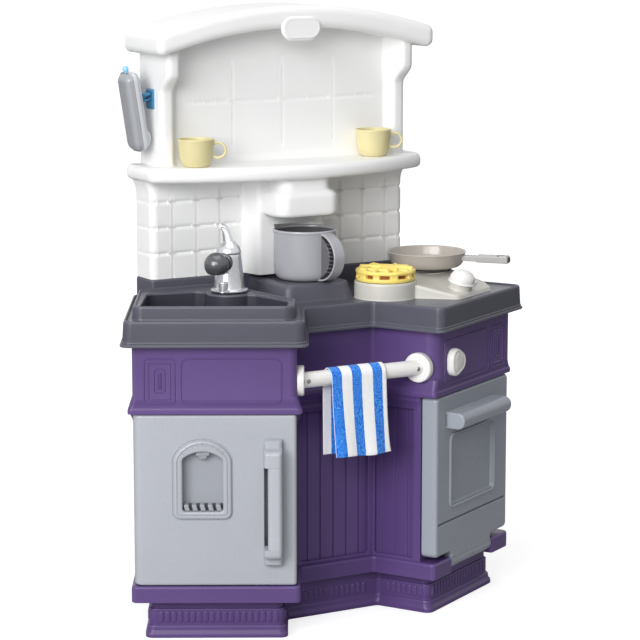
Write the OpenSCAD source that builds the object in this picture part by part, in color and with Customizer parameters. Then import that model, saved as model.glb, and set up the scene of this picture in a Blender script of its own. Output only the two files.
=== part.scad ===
// Play kitchen with two splayed wings, millimetres.
// X runs along the tiled wall, -Y is the front, Z is up, the floor is Z = 0.
// Each wing has a local frame: x from its inner front edge outwards along the front,
// y into the depth, z up. The left wing is the mirror image of the right one.

/* [Overall] */
// Angle between each wing front and the wall line, degrees
wing_angle = 29.3; // [26:0.1:32]
// Width of a wing front
wing_w = 254; // [250:1:262]
// Half distance between the two inner front edges
inner_half = 127.4; // [122:0.2:134]
// Depth of the recess floor line behind the inner front edges
recess_depth = 103; // [98:1:108]
// Depth of an inner front edge in front of the wall face
front_reach = 281.8; // [276:0.2:290]
// Thickness of the white wall
wall_t = 58; // [52:1:62]

/* [Heights] */
// Top of the flared foot
foot_h = 20; // [16:1:24]
// Top of the reeded band
band_top = 46; // [42:1:50]
// Underside of the ledge below the doors
ledge_low = 62; // [58:1:64]
// Top of that ledge
ledge_top = 89; // [84:1:89]
// Underside of the moulding above the doors
waist_low = 363; // [358:1:368]
// Thickness of that moulding
waist_h = 9; // [6:1:12]
// Lower edge of the countertop lip
lip_low = 470; // [464:1:476]
// Height of the countertop skirt
skirt_h = 41; // [36:1:46]
// Rise of the sink rim above the countertop bead
sink_rise = 19; // [14:1:22]
// Rise of the upstand under the wall above the bead
upstand_rise = 31; // [26:1:34]
// Height of the lower wall up to the shelf
lower_wall_h = 160; // [150:1:170]
// Thickness of the shelf
shelf_h = 24; // [20:1:28]
// Height of the upper wall at its ends
upper_wall_h = 176; // [166:1:190]
// Thickness of the arched cap
cap_h = 36; // [30:1:40]
// Rise of the arch over the cap ends
arch_rise = 40; // [30:1:50]

/* [Doors] */
// Thickness of both doors
door_t = 28; // [24:1:30]
// Gap around a closed door
door_gap = 1.2; // [0.8:0.1:1.6]
// Diameter of the hinge pins
pin_d = 8; // [6:0.5:9]
// Width of each hinge lug of the oven door
lug_w = 56; // [48:1:62]

/* [Accessories] */
// Rim radius of the coffee pot
pot_r = 51; // [46:1:53]
// Height of the coffee pot
pot_h = 82; // [74:1:86]
// Rim radius of the pan
pan_r = 66; // [58:0.5:66]
// Rim radius of a cup
cup_r = 29.5; // [26:0.5:32]
// Height of a cup
cup_h = 44; // [38:1:50]
// Diameter of the towel bar
bar_d = 25; // [22:1:27]
// Width of the towel
towel_w = 99; // [90:1:110]
// Length of the phone
phone_l = 128; // [115:1:135]

/* [Hidden] */
$fn = 64;
eps = 0.01;
arc_over = 0.005;
ca = cos(wing_angle);
sa = sin(wing_angle);

// clearances
run_gap = 0.06;
seat_gap = 0.3;
rest_gap = 0.3;

// Y positions: the object is centred front to back
lip_out = 18.9;
lip_side = 18;
lip_r = 5;
front_max = front_reach + lip_out * ca + lip_side * sa - lip_r * (sa + ca - 1);
wy = (front_max - wall_t) / 2;
yin = wy - front_reach;
recess_y = yin + recess_depth;
back_y = wy + wall_t;

// heights that follow from the others
waist_top = waist_low + waist_h;
bead_z = lip_low + skirt_h;
deck_z = bead_z - 2.5;
rim_z = bead_z + sink_rise;
upstand_z = bead_z + upstand_rise;
shelf_z = upstand_z + lower_wall_h;
shelf_top = shelf_z + shelf_h;
cap_z = shelf_top + upper_wall_h;
top_z = cap_z + cap_h + arch_rise;

// body shell
shell_t = 8;
box_floor = 4;
liner_t = 6;
body_top = deck_z - 5;
door_face_d = door_t + 0.4;
cav_side = 14;
cav_depth = 150;
fridge_cav_low = ledge_top + 8;
cav_top = waist_low - 8;

// hinge axes in wing coordinates
fridge_axis_x = wing_w - door_t / 2;
oven_axis_z = ledge_top - 8;
hinge_y = door_t / 2;
ledge_out = 1;
ledge_side = 5;
lug_r = hinge_y + ledge_out;
pin_in = 16;
fridge_pin_l = 27;
through = 300;

// dispenser niche of the fridge door
niche_x = 146.5;
niche_w = 63;
niche_d = 18;
niche_low = ledge_top + door_gap + 119;

// wall
wall_half = 236;
upper_half = 227;
tile_pitch = 43;
tile_first = 27.5;
tile_h = 41.5;
shelf_half = 253;
shelf_bow = 73;
shelf_front = 108;
cap_half = 253.5;
cap_front = 70;
cap_r_top = (cap_half * cap_half + arch_rise * arch_rise) / (2 * arch_rise);
cap_centre_z = top_z - cap_r_top;
cap_r_low = cap_r_top - cap_h;
pedestal_top = bead_z + 26;
pedestal_foot = 68;
pedestal_half = 58;
pedestal_foot_y = 138;
pedestal_y = 126;
head_rise = 98;
head_z = upstand_z + head_rise;
pot_side = 4.5;
pot_out = 74;
pot_at = [pot_side, wy - pot_out];

// cooktop, in right wing coordinates
front_burner = [54, 125];
front_burner_r = 51;
rear_burner = [206, 143];
rear_burner_r = 51;
pan_at = [205, 131.2];
cook_top = bead_z + 25;
disc_h = 2.5;
panel_tilt = 14;
panel_front = 8;
panel_edge = 5;
knob_boss_r = 19;
knob_boss_h = 9;
stove_knob_at = [134, 30];
stove_knob_r = 24;
oven_knob_at = [62, 413];
spindle_d = 10;

// sink and tap, in left wing coordinates
tap_at = [108, 166.5];
tap_flange_r = 30;
tap_h = 60;
tap_r_low = 24.5;
tap_r_high = 19;
lever_pin_d = 12;
lever_pin_h = 13;
spout_z = rim_z + 48;
spout_turn = -22;
spout_reach = 50;
basin_floor = lip_low - 22;
basin_t = 4;
drain_at = [128, 76];
drain_r = 12;

// inside the cavities
fridge_shelf_z = 225;
rack_z = 215;

// screws that hold the wall on its upstand
wall_screw_x = [-200, -70, 70, 200];
wall_screw_y = back_y - 24;
wall_screw_d = 4;
upstand_t = 6;

// towel bar
bar_drop = 60;
bar_z = lip_low - bar_drop;
bar_y = recess_y - 79;
flange_r = 24;
flange_t = 11;
bar_in = bar_y - yin;
bar_end_x = inner_half + (-flange_t / 2 - bar_in * sa) / ca;
flange_y = (inner_half - bar_end_x) * sa + bar_in * ca;
spigot_d = 19;
spigot_l = 18;
bar_screw_x = 100.2;

// towel
towel_t = 3;
towel_x = -60;
towel_front_l = 127;
towel_rear_l = 128;
towel_r = bar_d / 2 + 0.5 + towel_t / 2;
towel_nu = 16;
fold_n = 2;
fold_h = 5;
towel_s = concat([for (i = [0:8]) i / 8 * towel_front_l],
  [for (i = [1:10]) towel_front_l + i / 10 * PI * towel_r],
  [for (i = [1:8]) towel_front_l + PI * towel_r + i / 8 * towel_rear_l]);

// phone
phone_tilt = 9;
clip_rise = 19;
clip_in = 6.3;
clip_w = 20;
clip_low = 10;
clip_high = 27;
phone_w = 45;
phone_out = 31;
phone_back_y = 15;
phone_rise = 87;
phone_x = -upper_half - phone_out;
phone_y = wy + phone_back_y;
phone_z = shelf_top + phone_rise;

// cups on the shelf
cup_left_x = -175;
cup_left_out = 40;
cup_right_x = 155.5;
cup_right_out = 36;
cup_turn = -30;

// Point of the right wing front frame in object coordinates
function wing_pt(u, d) = [inner_half + u * ca - d * sa, yin + u * sa + d * ca];

// Depth at which the side line x = u of a wing meets the line Y = y
function depth_at(u, y) = (y - yin - u * sa) / ca;

// Right half of the plan: recess corner, inner front, outer front, back
function half_plan(f, s, c, b) = [
  wing_pt(-s, depth_at(-s, recess_y - c)),
  wing_pt(-s, -f),
  wing_pt(wing_w + s, -f),
  wing_pt(wing_w + s, depth_at(wing_w + s, back_y + b))];

function mirrored(p) = [for (i = [len(p) - 1:-1:0]) [-p[i][0], p[i][1]]];

// Whole plan, grown by f at the wing fronts, s at their sides, c in the recess, b behind
function plan(f, s, c, b) = concat(half_plan(f, s, c, b), mirrored(half_plan(f, s, c, b)));

function unit(v) = v / norm(v);
function turn(a, p, b) = (p[0] - a[0]) * (b[1] - p[1]) - (p[1] - a[1]) * (b[0] - p[0]);

// Polygon with its convex corners rounded by true arcs; points run anticlockwise.
// The arcs stand arc_over proud, so that they cross the straight sides cleanly.
module round_plan(p, r) {
  n = len(p);
  ends = [for (i = [0:n - 1])
    let (a = unit(p[(i + n - 1) % n] - p[i]), b = unit(p[(i + 1) % n] - p[i]))
    let (h = acos(a * b) / 2)
    let (k = turn(p[(i + n - 1) % n], p[i], p[(i + 1) % n]) > 0 ? r / tan(h) : 0)
    for (q = [a, b]) p[i] + q * k];
  polygon(ends);
  for (i = [0:n - 1]) {
    a = unit(p[(i + n - 1) % n] - p[i]);
    b = unit(p[(i + 1) % n] - p[i]);
    h = acos(a * b) / 2;
    if (turn(p[(i + n - 1) % n], p[i], p[(i + 1) % n]) > 0)
      translate(p[i] + unit(a + b) * r / sin(h))
        circle(r = r + arc_over, $fn = 48);
  }
}

module slab(p, r, z0, z1) {
  translate([0, 0, z0])
    linear_extrude(z1 - z0)
      round_plan(p, r);
}

module on_right() {
  translate([inner_half, yin, 0])
    rotate(wing_angle)
      children();
}

module on_left() {
  mirror([1, 0, 0])
    on_right()
      children();
}

// Box between two corners
module box(a, b) {
  translate(a)
    cube(b - a);
}

// Upright box with round vertical edges
module soft_box(a, b, r) {
  slab([[a[0], a[1]], [b[0], a[1]], [b[0], b[1]], [a[0], b[1]]], r, a[2], b[2]);
}

// Horizontal V groove along x, cut into a face that looks to -y
module v_groove(x0, x1, z, w) {
  translate([x0, 0, z])
    rotate([45, 0, 0])
      cube([x1 - x0, w, w]);
}

// Upright V groove in a face that looks to -y
module v_flute(x, z0, z1, w) {
  translate([x, 0, z0])
    rotate(45)
      translate([-w / 2, -w / 2, 0])
        cube([w, w, z1 - z0]);
}

// Plinth: neck, reeded band and flared foot
module plinth() {
  band_f = -23;
  band_s = -20;
  reed_pitch = 10;
  reed_w = 3.4;
  reed_low = foot_h + 4;
  reed_high = band_top - 4;
  first = 38;
  front_n = floor((wing_w / 2 - 25) / reed_pitch);
  outer_n = floor((depth_at(wing_w, back_y) - first - 15) / reed_pitch);
  inner_n = floor((recess_depth / ca - first) / reed_pitch) - 1;
  color("#5b4678")
    difference() {
      union() {
        slab(plan(band_f - 3, band_s - 3, -12, 0), 6, band_top - 2, ledge_low);
        slab(plan(band_f, band_s, -9, 0), 7, foot_h - 2, band_top);
        slab(plan(band_f + 3, band_s + 3, -6, 0), 8, 12, foot_h);
        slab(plan(band_f + 6, band_s + 5, -4, 0), 9, 0, 12);
      }
      for (side = [0, 1])
        mirror([side, 0, 0])
          on_right() {
            for (i = [-front_n:front_n])
              translate([0, -band_f, 0])
                v_flute(wing_w / 2 + i * reed_pitch, reed_low, reed_high, reed_w);
            translate([-band_s, 0, 0])
              rotate(-90)
                for (i = [0:inner_n])
                  v_flute(-(first + i * reed_pitch), reed_low, reed_high, reed_w);
            translate([wing_w + band_s, 0, 0])
              rotate(90)
                for (i = [0:outer_n])
                  v_flute(first + i * reed_pitch, reed_low, reed_high, reed_w);
          }
      for (i = [-6:6])
        translate([0, recess_y + 9, 0])
          v_flute(i * reed_pitch, reed_low, reed_high, reed_w);
      slab(plan(band_f - 14, band_s - 14, -24, -12), 5, -1, ledge_low - 6);
    }
}

// Frame of proud lines: two nested rectangles on a face that looks to -y
module line_frame(x0, z0, x1, z1, w, h) {
  difference() {
    box([x0, -h, z0], [x1, eps, z1]);
    box([x0 + w, -h - 1, z0 + w], [x1 - w, 1, z1 - w]);
  }
}

// Mouldings of one upper panel, in wing coordinates
module panel_relief() {
  z0 = waist_top + 7;
  z1 = lip_low - 19;
  line_frame(23, z0 - 1, 180, z1, 3, 1.5);
  line_frame(187, z0, 236, z1, 3, 1.5);
  line_frame(195, z0 + 9, 228, z1 - 9, 3, 1.5);
  line_frame(203, z0 + 18, 220, z1 - 18, 3, 1.5);
}

// Beadboard field: a shallow recess with upright grooves, face looks to -y
module beadboard_cut(x0, x1, z0, z1, pitch) {
  depth = 6;
  box([x0, -1, z0], [x1, depth, z1]);
  n = floor((x1 - x0) / pitch);
  start = (x1 - x0 - (n - 1) * pitch) / 2;
  for (i = [0:n - 1])
    translate([x0 + start + i * pitch, depth, 0])
      v_flute(0, z0, z1, 3);
}

// Purple cabinet with both cavities
module cabinet() {
  field_low = ledge_top + 5;
  field_high = waist_low - 12;
  side_end = recess_depth / ca - 6;
  back_half = 62;
  back_pitch = 24;
  side_pitch = 23;
  color("#5f4a7e")
    difference() {
      union() {
        slab(plan(ledge_out, ledge_side, 8, 0), 9, ledge_low, ledge_top);
        slab(plan(-door_face_d, 0, 0, 0), 4, ledge_top - 1, waist_low + 1);
        slab(plan(1.5, 7, 7, 0), 9, waist_low, waist_top);
        slab(plan(0, 0, 0, 0), 7, waist_top - 1, body_top);
        for (side = [0, 1])
          mirror([side, 0, 0])
            on_right()
              panel_relief();
      }
      // round upper edge of the ledge, on which the oven door swings clear
      on_right()
        difference() {
          box([-20, -10, oven_axis_z], [wing_w + 20, hinge_y, ledge_top + 1]);
          translate([-21, hinge_y, oven_axis_z])
            rotate([0, 90, 0])
              cylinder(r = lug_r, h = wing_w + 42);
        }
      // open box under the countertop
      slab(plan(-shell_t, -shell_t, -shell_t, -shell_t), 5, waist_top + box_floor, body_top + 1);
      // hollow body around the two cavities, open at the bottom
      difference() {
        slab(plan(-door_face_d - shell_t, -cav_side, -2 * shell_t, -shell_t), 5,
          ledge_low - 1, waist_low);
        for (side = [0, 1])
          mirror([side, 0, 0])
            on_right()
              box([cav_side - liner_t, door_face_d - 5, fridge_cav_low - liner_t],
                [wing_w - cav_side + liner_t, door_face_d + cav_depth + liner_t, waist_low + 1]);
      }
      // fridge cavity and pin holes
      on_left() {
        box([cav_side, door_face_d - 2, fridge_cav_low],
          [wing_w - cav_side, door_face_d + cav_depth, cav_top]);
        for (z = [ledge_top - 10, waist_low - 2])
          translate([fridge_axis_x, hinge_y, z])
            cylinder(d = pin_d + 2 * run_gap, h = 12);
      }
      // oven cavity, room for the door tongue, pin holes and spindle hole
      on_right() {
        box([cav_side, door_face_d - 2, fridge_cav_low + 10],
          [wing_w - cav_side, door_face_d + cav_depth, cav_top]);
        box([lug_w, -10, ledge_low - 1], [wing_w - lug_w, door_face_d, waist_low]);
        translate([lug_w - pin_in, hinge_y, oven_axis_z])
          rotate([0, 90, 0])
            cylinder(d = pin_d + 2 * run_gap, h = wing_w - 2 * lug_w + 2 * pin_in);
        translate([oven_knob_at[0], -5, oven_knob_at[1]])
          rotate([-90, 0, 0])
            cylinder(d = spindle_d + 2 * run_gap, h = 20);
      }
      // beadboard fields of the recess
      translate([0, recess_y, 0])
        beadboard_cut(-back_half, back_half, field_low, field_high, back_pitch);
      for (side = [0, 1])
        mirror([side, 0, 0])
          on_right()
            rotate(-90)
              beadboard_cut(-side_end, -door_face_d - 12, field_low, field_high, side_pitch);
    }
}

// Left wing outline of the raised sink block and of the basin
function sink_plan() = [[3, 8], [wing_w, 8], [wing_w, depth_at(wing_w, wy - 2)],
  [128, depth_at(128, wy - 2)], [0, 80]];

function basin_plan(g) = [[17 - g, 14 - g], [wing_w - 15 + g, 14 - g],
  [wing_w - 19 + g, 146 + g], [162, 171 + g], [63 - g, 137 + g], [14 - g, 76]];

module basin(g, z0, z1) {
  difference() {
    translate([0, 0, z0])
      linear_extrude(z1 - z0)
        round_plan(basin_plan(g), 12 + g);
    translate([tap_at[0], tap_at[1], z0 - 1])
      cylinder(r = tap_flange_r + 8 - g, h = z1 - z0 + 2);
  }
}

// Pedestal of the coffee maker, sloped on three sides, grown by g
module pedestal(g) {
  low = deck_z - 1;
  intersection() {
    translate([0, back_y, 0])
      rotate([90, 0, 0])
        linear_extrude(wall_t + pedestal_foot_y + 2)
          polygon([[-pedestal_foot - g, low], [pedestal_foot + g, low],
            [pedestal_half + g, pedestal_top], [-pedestal_half - g, pedestal_top]]);
    rotate([90, 0, 90])
      linear_extrude(200, center = true)
        polygon([[wy, low], [wy - pedestal_foot_y - g, low], [wy - pedestal_y - g, pedestal_top],
          [wy, pedestal_top]]);
  }
}

// Dark countertop moulding
module countertop() {
  deck_t = 5;
  skirt_out = 16.8;
  skirt_side = 13.6;
  bead_out = 15.5;
  bead_side = 11.5;
  bead_w = 3.5;
  color("#555761")
    union() {
      difference() {
        union() {
          slab(plan(lip_out, lip_side, lip_side, 0), lip_r, lip_low, lip_low + 6);
          slab(plan(skirt_out, skirt_side, skirt_side, 0), 6, lip_low, bead_z - 4);
          slab(plan(bead_out, bead_side, bead_side, 0), 6, lip_low, bead_z);
          on_left()
            slab(sink_plan(), 14, deck_z, rim_z);
          on_left()
            basin(basin_t, basin_floor - basin_t, deck_z);
          // upstand under the wall
          box([-wall_half - 1, wy - 3, deck_z - 1], [wall_half + 1, back_y, upstand_z]);
        }
        // hollow under the deck
        difference() {
          slab(plan(0.5, 0.5, 0.5, 1), 7, lip_low - 1, deck_z - deck_t);
          on_left()
            basin(basin_t, basin_floor - basin_t - 1, deck_z);
        }
        // deck inside the raised bead
        difference() {
          slab(plan(bead_out - bead_w, bead_side - bead_w, bead_side - bead_w, -2), 5, deck_z,
            bead_z + 1);
          on_left()
            slab(sink_plan(), 14, deck_z - 1, bead_z + 2);
          box([-wall_half - 1, wy - 3, deck_z - 1], [wall_half + 1, back_y, bead_z + 2]);
        }
        // basin
        on_left()
          basin(0, basin_floor, rim_z + 1);
        // hollow of the upstand
        box([-wall_half + 7, wy + 5, lip_low], [wall_half - 7, back_y - 8, upstand_z - upstand_t]);
        // drain hole and tap hole
        on_left() {
          translate([drain_at[0], drain_at[1], basin_floor - 10])
            cylinder(r = drain_r, h = 20);
          translate([tap_at[0], tap_at[1], deck_z - 10])
            cylinder(r = drain_r, h = 50);
        }
        // screw holes under the wall
        for (x = wall_screw_x)
          translate([x, wall_screw_y, upstand_z - upstand_t - 1])
            cylinder(d = wall_screw_d + 0.4, h = upstand_t + 2);
      }
      pedestal(0);
    }
}

// Drain ring in the basin floor
module sink_drain() {
  color("#9aa0a8")
    on_left()
      translate([drain_at[0], drain_at[1], basin_floor])
        difference() {
          union() {
            cylinder(r = drain_r + 7, h = 2.5);
            translate([0, 0, -basin_t])
              cylinder(r = drain_r - 0.3, h = basin_t + 1);
          }
          for (a = [0:60:300])
            rotate(a)
              translate([7, 0, -10])
                cylinder(d = 5, h = 20, $fn = 32);
          translate([0, 0, 1])
            cylinder(r = drain_r + 3, h = 2);
          translate([0, 0, -10])
            cylinder(d = 4, h = 20);
        }
}

module pot_niche(g, z0, z1) {
  translate([pot_at[0], pot_at[1], z0])
    cylinder(r = pot_r + g, h = z1 - z0);
}

// Tiled lower wall with the pilaster behind the pot
module lower_wall() {
  cut = 5;
  boss_r = 8;
  boss_h = 22;
  niche_gap = 1;
  niche_wall = 6;
  color("#f2f2f2")
    difference() {
      union() {
        box([-wall_half, wy, upstand_z], [wall_half, back_y, shelf_z]);
        translate([0, 0, upstand_z])
          linear_extrude(lower_wall_h)
            polygon([[-70, wy + 1], [-62, wy - 38], [62, wy - 38], [70, wy + 1]]);
      }
      for (i = [1:3])
        for (side = [0, 1])
          mirror([side, 0, 0]) {
            translate([0, wy, -cut / sqrt(2)])
              v_groove(70, wall_half + 1, upstand_z + i * tile_h, cut);
            translate([wall_half, 0, upstand_z + i * tile_h])
              rotate([0, 45, 0])
                translate([-cut / 2, wy - 2, -cut / 2])
                  cube([cut, wall_t + 4, cut]);
          }
      for (i = [2:4])
        for (side = [0, 1])
          mirror([side, 0, 0])
            translate([0, wy, 0])
              v_flute(tile_first + i * tile_pitch, upstand_z - 1, shelf_z - 8, cut);
      // hollow, open at the bottom, with a boss for each screw
      difference() {
        box([-wall_half + 8, wy + 8, upstand_z - 1], [wall_half - 8, back_y - 8, shelf_z - 6]);
        for (x = wall_screw_x) {
          translate([x, wall_screw_y, upstand_z])
            cylinder(r = boss_r, h = boss_h);
          box([x - 3, wall_screw_y, upstand_z], [x + 3, back_y - 7, upstand_z + boss_h]);
        }
      }
      // hollow of the pilaster around a round niche for the pot
      difference() {
        box([-54, wy - 31, upstand_z - 1], [54, wy + 9, shelf_z - 6]);
        pot_niche(niche_gap + niche_wall, upstand_z - 2, shelf_z);
      }
      pot_niche(niche_gap, upstand_z - 1, head_z);
      for (x = wall_screw_x)
        translate([x, wall_screw_y, upstand_z - 1])
          cylinder(d = wall_screw_d, h = 16);
    }
}

// Rounded head of the coffee maker under the shelf
module coffee_head() {
  color("#f4f4f4")
    difference() {
      union() {
        soft_box([-56, wy - 102, head_z], [56, wy - 38, head_z + 42], 14);
        soft_box([-46, wy - 92, head_z + 40], [46, wy - 38, shelf_z], 12);
        box([-56, wy - 60, head_z], [56, wy - 38, head_z + 42]);
        box([-46, wy - 60, head_z + 40], [46, wy - 38, shelf_z]);
      }
      translate([0, wy - 66, head_z - 1])
        cylinder(r = 22, h = 9);
    }
}

// Bow-fronted shelf
module shelf() {
  r = (shelf_half * shelf_half + shelf_bow * shelf_bow) / (2 * shelf_bow);
  color("#f4f4f4")
    difference() {
      intersection() {
        translate([0, wy - shelf_front + r, shelf_z])
          cylinder(r = r, h = shelf_h, $fn = 180);
        soft_box([-shelf_half, wy - shelf_front - 5, shelf_z - 1],
          [shelf_half, back_y, shelf_top + 1], 8);
      }
      box([-shelf_half + 20, wy - 10, shelf_z - 1], [shelf_half - 20, back_y - 8, shelf_top - 8]);
    }
}

// Corbelled column at one end of the upper wall
module column() {
  inner = upper_half - 19;
  translate([0, 0, shelf_top])
    linear_extrude(upper_wall_h + 2)
      polygon([[inner - 14, wy - 3], [inner, wy - 20], [upper_half, wy - 20], [upper_half, back_y],
        [inner - 14, back_y]]);
  translate([inner - 4, 0, 0])
    rotate([90, 0, 90])
      linear_extrude(upper_half - inner + 4)
        polygon([[wy, cap_z - 56], [wy - 20, cap_z - 56], [wy - 47, cap_z - 32],
          [wy - 47, cap_z + 2], [wy, cap_z + 2]]);
}

// Upper wall with big moulded tiles
module upper_wall() {
  cut = 3;
  color("#f3f3f3")
    difference() {
      intersection() {
        union() {
          box([-upper_half, wy - 4, shelf_top], [upper_half, back_y, top_z]);
          column();
          mirror([1, 0, 0])
            column();
        }
        translate([0, back_y + 1, cap_centre_z])
          rotate([90, 0, 0])
            cylinder(r = cap_r_low, h = through, $fn = 240);
      }
      for (x = [-92, 0, 95])
        translate([x, wy - 4, 0])
          v_flute(0, shelf_top + 28, cap_z - 16, cut);
      translate([0, wy - 4, -cut / sqrt(2)])
        v_groove(-182, 182, shelf_top + 98, cut);
      box([-upper_half + 14, wy + 8, shelf_top - 1], [upper_half - 14, back_y - 8, cap_z - 8]);
    }
}

// Arched cap over the whole width
module arch_cap() {
  color("#f5f5f5")
    difference() {
      intersection() {
        translate([0, back_y, cap_centre_z])
          rotate([90, 0, 0])
            cylinder(r = cap_r_top, h = wall_t + cap_front, $fn = 240);
        box([-cap_half, wy - cap_front, cap_z - 10], [cap_half, back_y, top_z + 1]);
      }
      translate([0, back_y + 1, cap_centre_z])
        rotate([90, 0, 0])
          cylinder(r = cap_r_low, h = through, $fn = 240);
    }
}

// Bare oval plaque on the front of the cap
module plaque() {
  w = 34;
  h = 17;
  color("#f5f5f5")
    translate([0, wy - cap_front, cap_z + arch_rise])
      rotate([90, 0, 0])
        linear_extrude(3) {
          square([2 * (w - h), 2 * h], center = true);
          for (sx = [-1, 1])
            translate([sx * (w - h), 0])
              circle(r = h);
        }
}

// Screws up through the upstand into the bosses of the wall, hidden
module wall_screws() {
  color("#8d8f94")
    for (x = wall_screw_x)
      translate([x, wall_screw_y, upstand_z - upstand_t]) {
        translate([0, 0, -3])
          cylinder(d = 2 * wall_screw_d, h = 3);
        cylinder(d = wall_screw_d, h = upstand_t + 14);
      }
}

// Fridge door, hinged at its outer edge
module fridge_door() {
  low = ledge_top + door_gap;
  high = waist_low - door_gap;
  arch_r = niche_w / 2 + 13.5;
  spring_z = low + 202;
  color("#a3a9b2")
    on_left()
      difference() {
        union() {
          soft_box([1, 0, low], [fridge_axis_x, door_t, high], 5);
          translate([fridge_axis_x - 10, 0, low])
            cube([10, door_t, high - low]);
          translate([fridge_axis_x, hinge_y, low])
            cylinder(r = door_t / 2, h = high - low);
          // raised surround of the dispenser, arched at the top
          box([niche_x - arch_r, -4, niche_low - 12], [niche_x + arch_r, 1, spring_z]);
          translate([niche_x, 1, spring_z])
            rotate([90, 0, 0])
              intersection() {
                cylinder(r = arch_r, h = 5);
                translate([-arch_r, 0, 0])
                  cube([2 * arch_r, 30, 5]);
              }
          // loop handle on its base
          soft_box([26, -30, low + 34], [48, 1, low + 234], 9);
          box([26, -12, low + 34], [54, 1, low + 234]);
        }
        // finger opening behind the grip
        box([20, -18, low + 64], [60, -3, low + 192]);
        // niche
        box([niche_x - niche_w / 2, -6, niche_low], [niche_x + niche_w / 2, niche_d, niche_low + 80]);
        translate([niche_x, niche_d, niche_low + 80])
          rotate([90, 0, 0])
            intersection() {
              cylinder(r = niche_w / 2, h = 30);
              translate([-niche_w / 2, 0, 0])
                cube([niche_w, 16, 30]);
            }
        // pin holes
        for (z = [low - 1, high - 19])
          translate([fridge_axis_x, hinge_y, z])
            cylinder(d = pin_d, h = 20);
      }
}

// Upper and lower hinge pin of the fridge door
module fridge_pins() {
  color("#c9ccd1")
    on_left()
      for (z = [ledge_top - 8, waist_low - door_gap - 18])
        translate([fridge_axis_x, hinge_y, z])
          cylinder(d = pin_d, h = fridge_pin_l);
}

// Nozzle and drip grille of the dispenser niche
module dispenser() {
  half = niche_w / 2;
  slot = 4;
  slot_n = 7;
  color("#8c929b")
    on_left()
      translate([niche_x, 0, niche_low]) {
        difference() {
          box([-half, 2, 0], [half, niche_d, 14]);
          for (i = [0:slot_n - 1])
            translate([(i - (slot_n - 1) / 2) * 2 * slot, 0, 0])
              box([-slot / 2, 1, 7], [slot / 2, niche_d - 4, 15]);
        }
        box([-half, niche_d - 2, 13], [half, niche_d, 80]);
        box([-8, niche_d - 12, 66], [8, niche_d - 1, 80]);
        translate([0, niche_d - 10, 52])
          cylinder(r1 = 5, r2 = 7, h = 20);
      }
}

// Shelf inside the fridge
module fridge_shelf() {
  y0 = door_face_d + 16;
  y1 = door_face_d + cav_depth;
  slot_n = 10;
  pitch = (wing_w - 2 * cav_side - 26) / slot_n;
  color("#dfe2e6")
    on_left()
      difference() {
        box([cav_side, y0, fridge_shelf_z], [wing_w - cav_side, y1, fridge_shelf_z + 5]);
        for (i = [0:slot_n - 1])
          translate([cav_side + 18 + i * pitch, 0, 0])
            box([0, y0 + 18, fridge_shelf_z - 1], [pitch / 2, y1 - 20, fridge_shelf_z + 6]);
      }
}

// Oven door, hinged along its lower tongue
module oven_door() {
  low = oven_axis_z + lug_r + 1;
  high = waist_low - door_gap;
  tongue0 = lug_w + door_gap;
  tongue1 = wing_w - lug_w - door_gap;
  groove_z = ledge_top + 62;
  rail_r = 13.5;
  rail_x0 = 32;
  rail_x1 = 202;
  rail_y = -20.5;
  rail_z = high - 41;
  color("#9ba0a9")
    on_right()
      difference() {
        union() {
          soft_box([1, 0, low], [wing_w - 1, door_t, high], 6);
          box([tongue0, 0, oven_axis_z], [tongue1, door_t, low + 1]);
          translate([tongue0, hinge_y, oven_axis_z])
            rotate([0, 90, 0])
              cylinder(r = door_t / 2, h = tongue1 - tongue0);
          // raised window frame
          line_frame(44, groove_z + 20, 204, groove_z + 145, 6, 2.5);
          // rail handle with a round front
          translate([rail_x0, rail_y, rail_z])
            rotate([0, 90, 0])
              cylinder(r = rail_r, h = rail_x1 - rail_x0);
          box([rail_x0, rail_y, rail_z - rail_r], [rail_x1, 1, rail_z + rail_r]);
        }
        // window field and drawer line
        box([52, -1, groove_z + 28], [196, 2.5, groove_z + 137]);
        box([-1, -1, groove_z - 1.2], [wing_w + 1, 3, groove_z + 1.2]);
        // pin holes
        for (x = [tongue0 - 1, tongue1 - pin_in + 1])
          translate([x, hinge_y, oven_axis_z])
            rotate([0, 90, 0])
              cylinder(d = pin_d, h = pin_in);
      }
}

// Two hinge pins of the oven door
module oven_pins() {
  reach = pin_in - 4;
  color("#c9ccd1")
    on_right()
      for (x = [lug_w - reach, wing_w - lug_w - reach - 2])
        translate([x, hinge_y, oven_axis_z])
          rotate([0, 90, 0])
            cylinder(d = pin_d, h = 2 * reach + 2);
}

// Wire rack inside the oven
module oven_rack() {
  rod_d = 5;
  y0 = door_face_d + 18;
  y1 = door_face_d + cav_depth;
  n = 11;
  pitch = (wing_w - 2 * cav_side - 26) / (n - 1);
  color("#c3c7cc")
    on_right() {
      for (y = [y0, y1 - rod_d / 2])
        translate([cav_side, y, rack_z])
          rotate([0, 90, 0])
            cylinder(d = rod_d, h = wing_w - 2 * cav_side, $fn = 32);
      for (i = [0:n - 1])
        translate([cav_side + 13 + i * pitch, y0, rack_z])
          rotate([-90, 0, 0])
            cylinder(d = 3, h = y1 - y0 - rod_d / 2, $fn = 32);
    }
}

// Rounded triangular oven knob with its spindle
module oven_knob() {
  lobe = 17;
  color("#f1f1f1")
    on_right()
      translate([oven_knob_at[0], 0, oven_knob_at[1]])
        rotate([90, 0, 0]) {
          translate([0, 0, seat_gap])
            linear_extrude(13)
              round_plan([[-30, -30], [40, -2], [-30, 34]], lobe);
          translate([0, 0, -13])
            cylinder(d = spindle_d, h = 14);
        }
}

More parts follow.
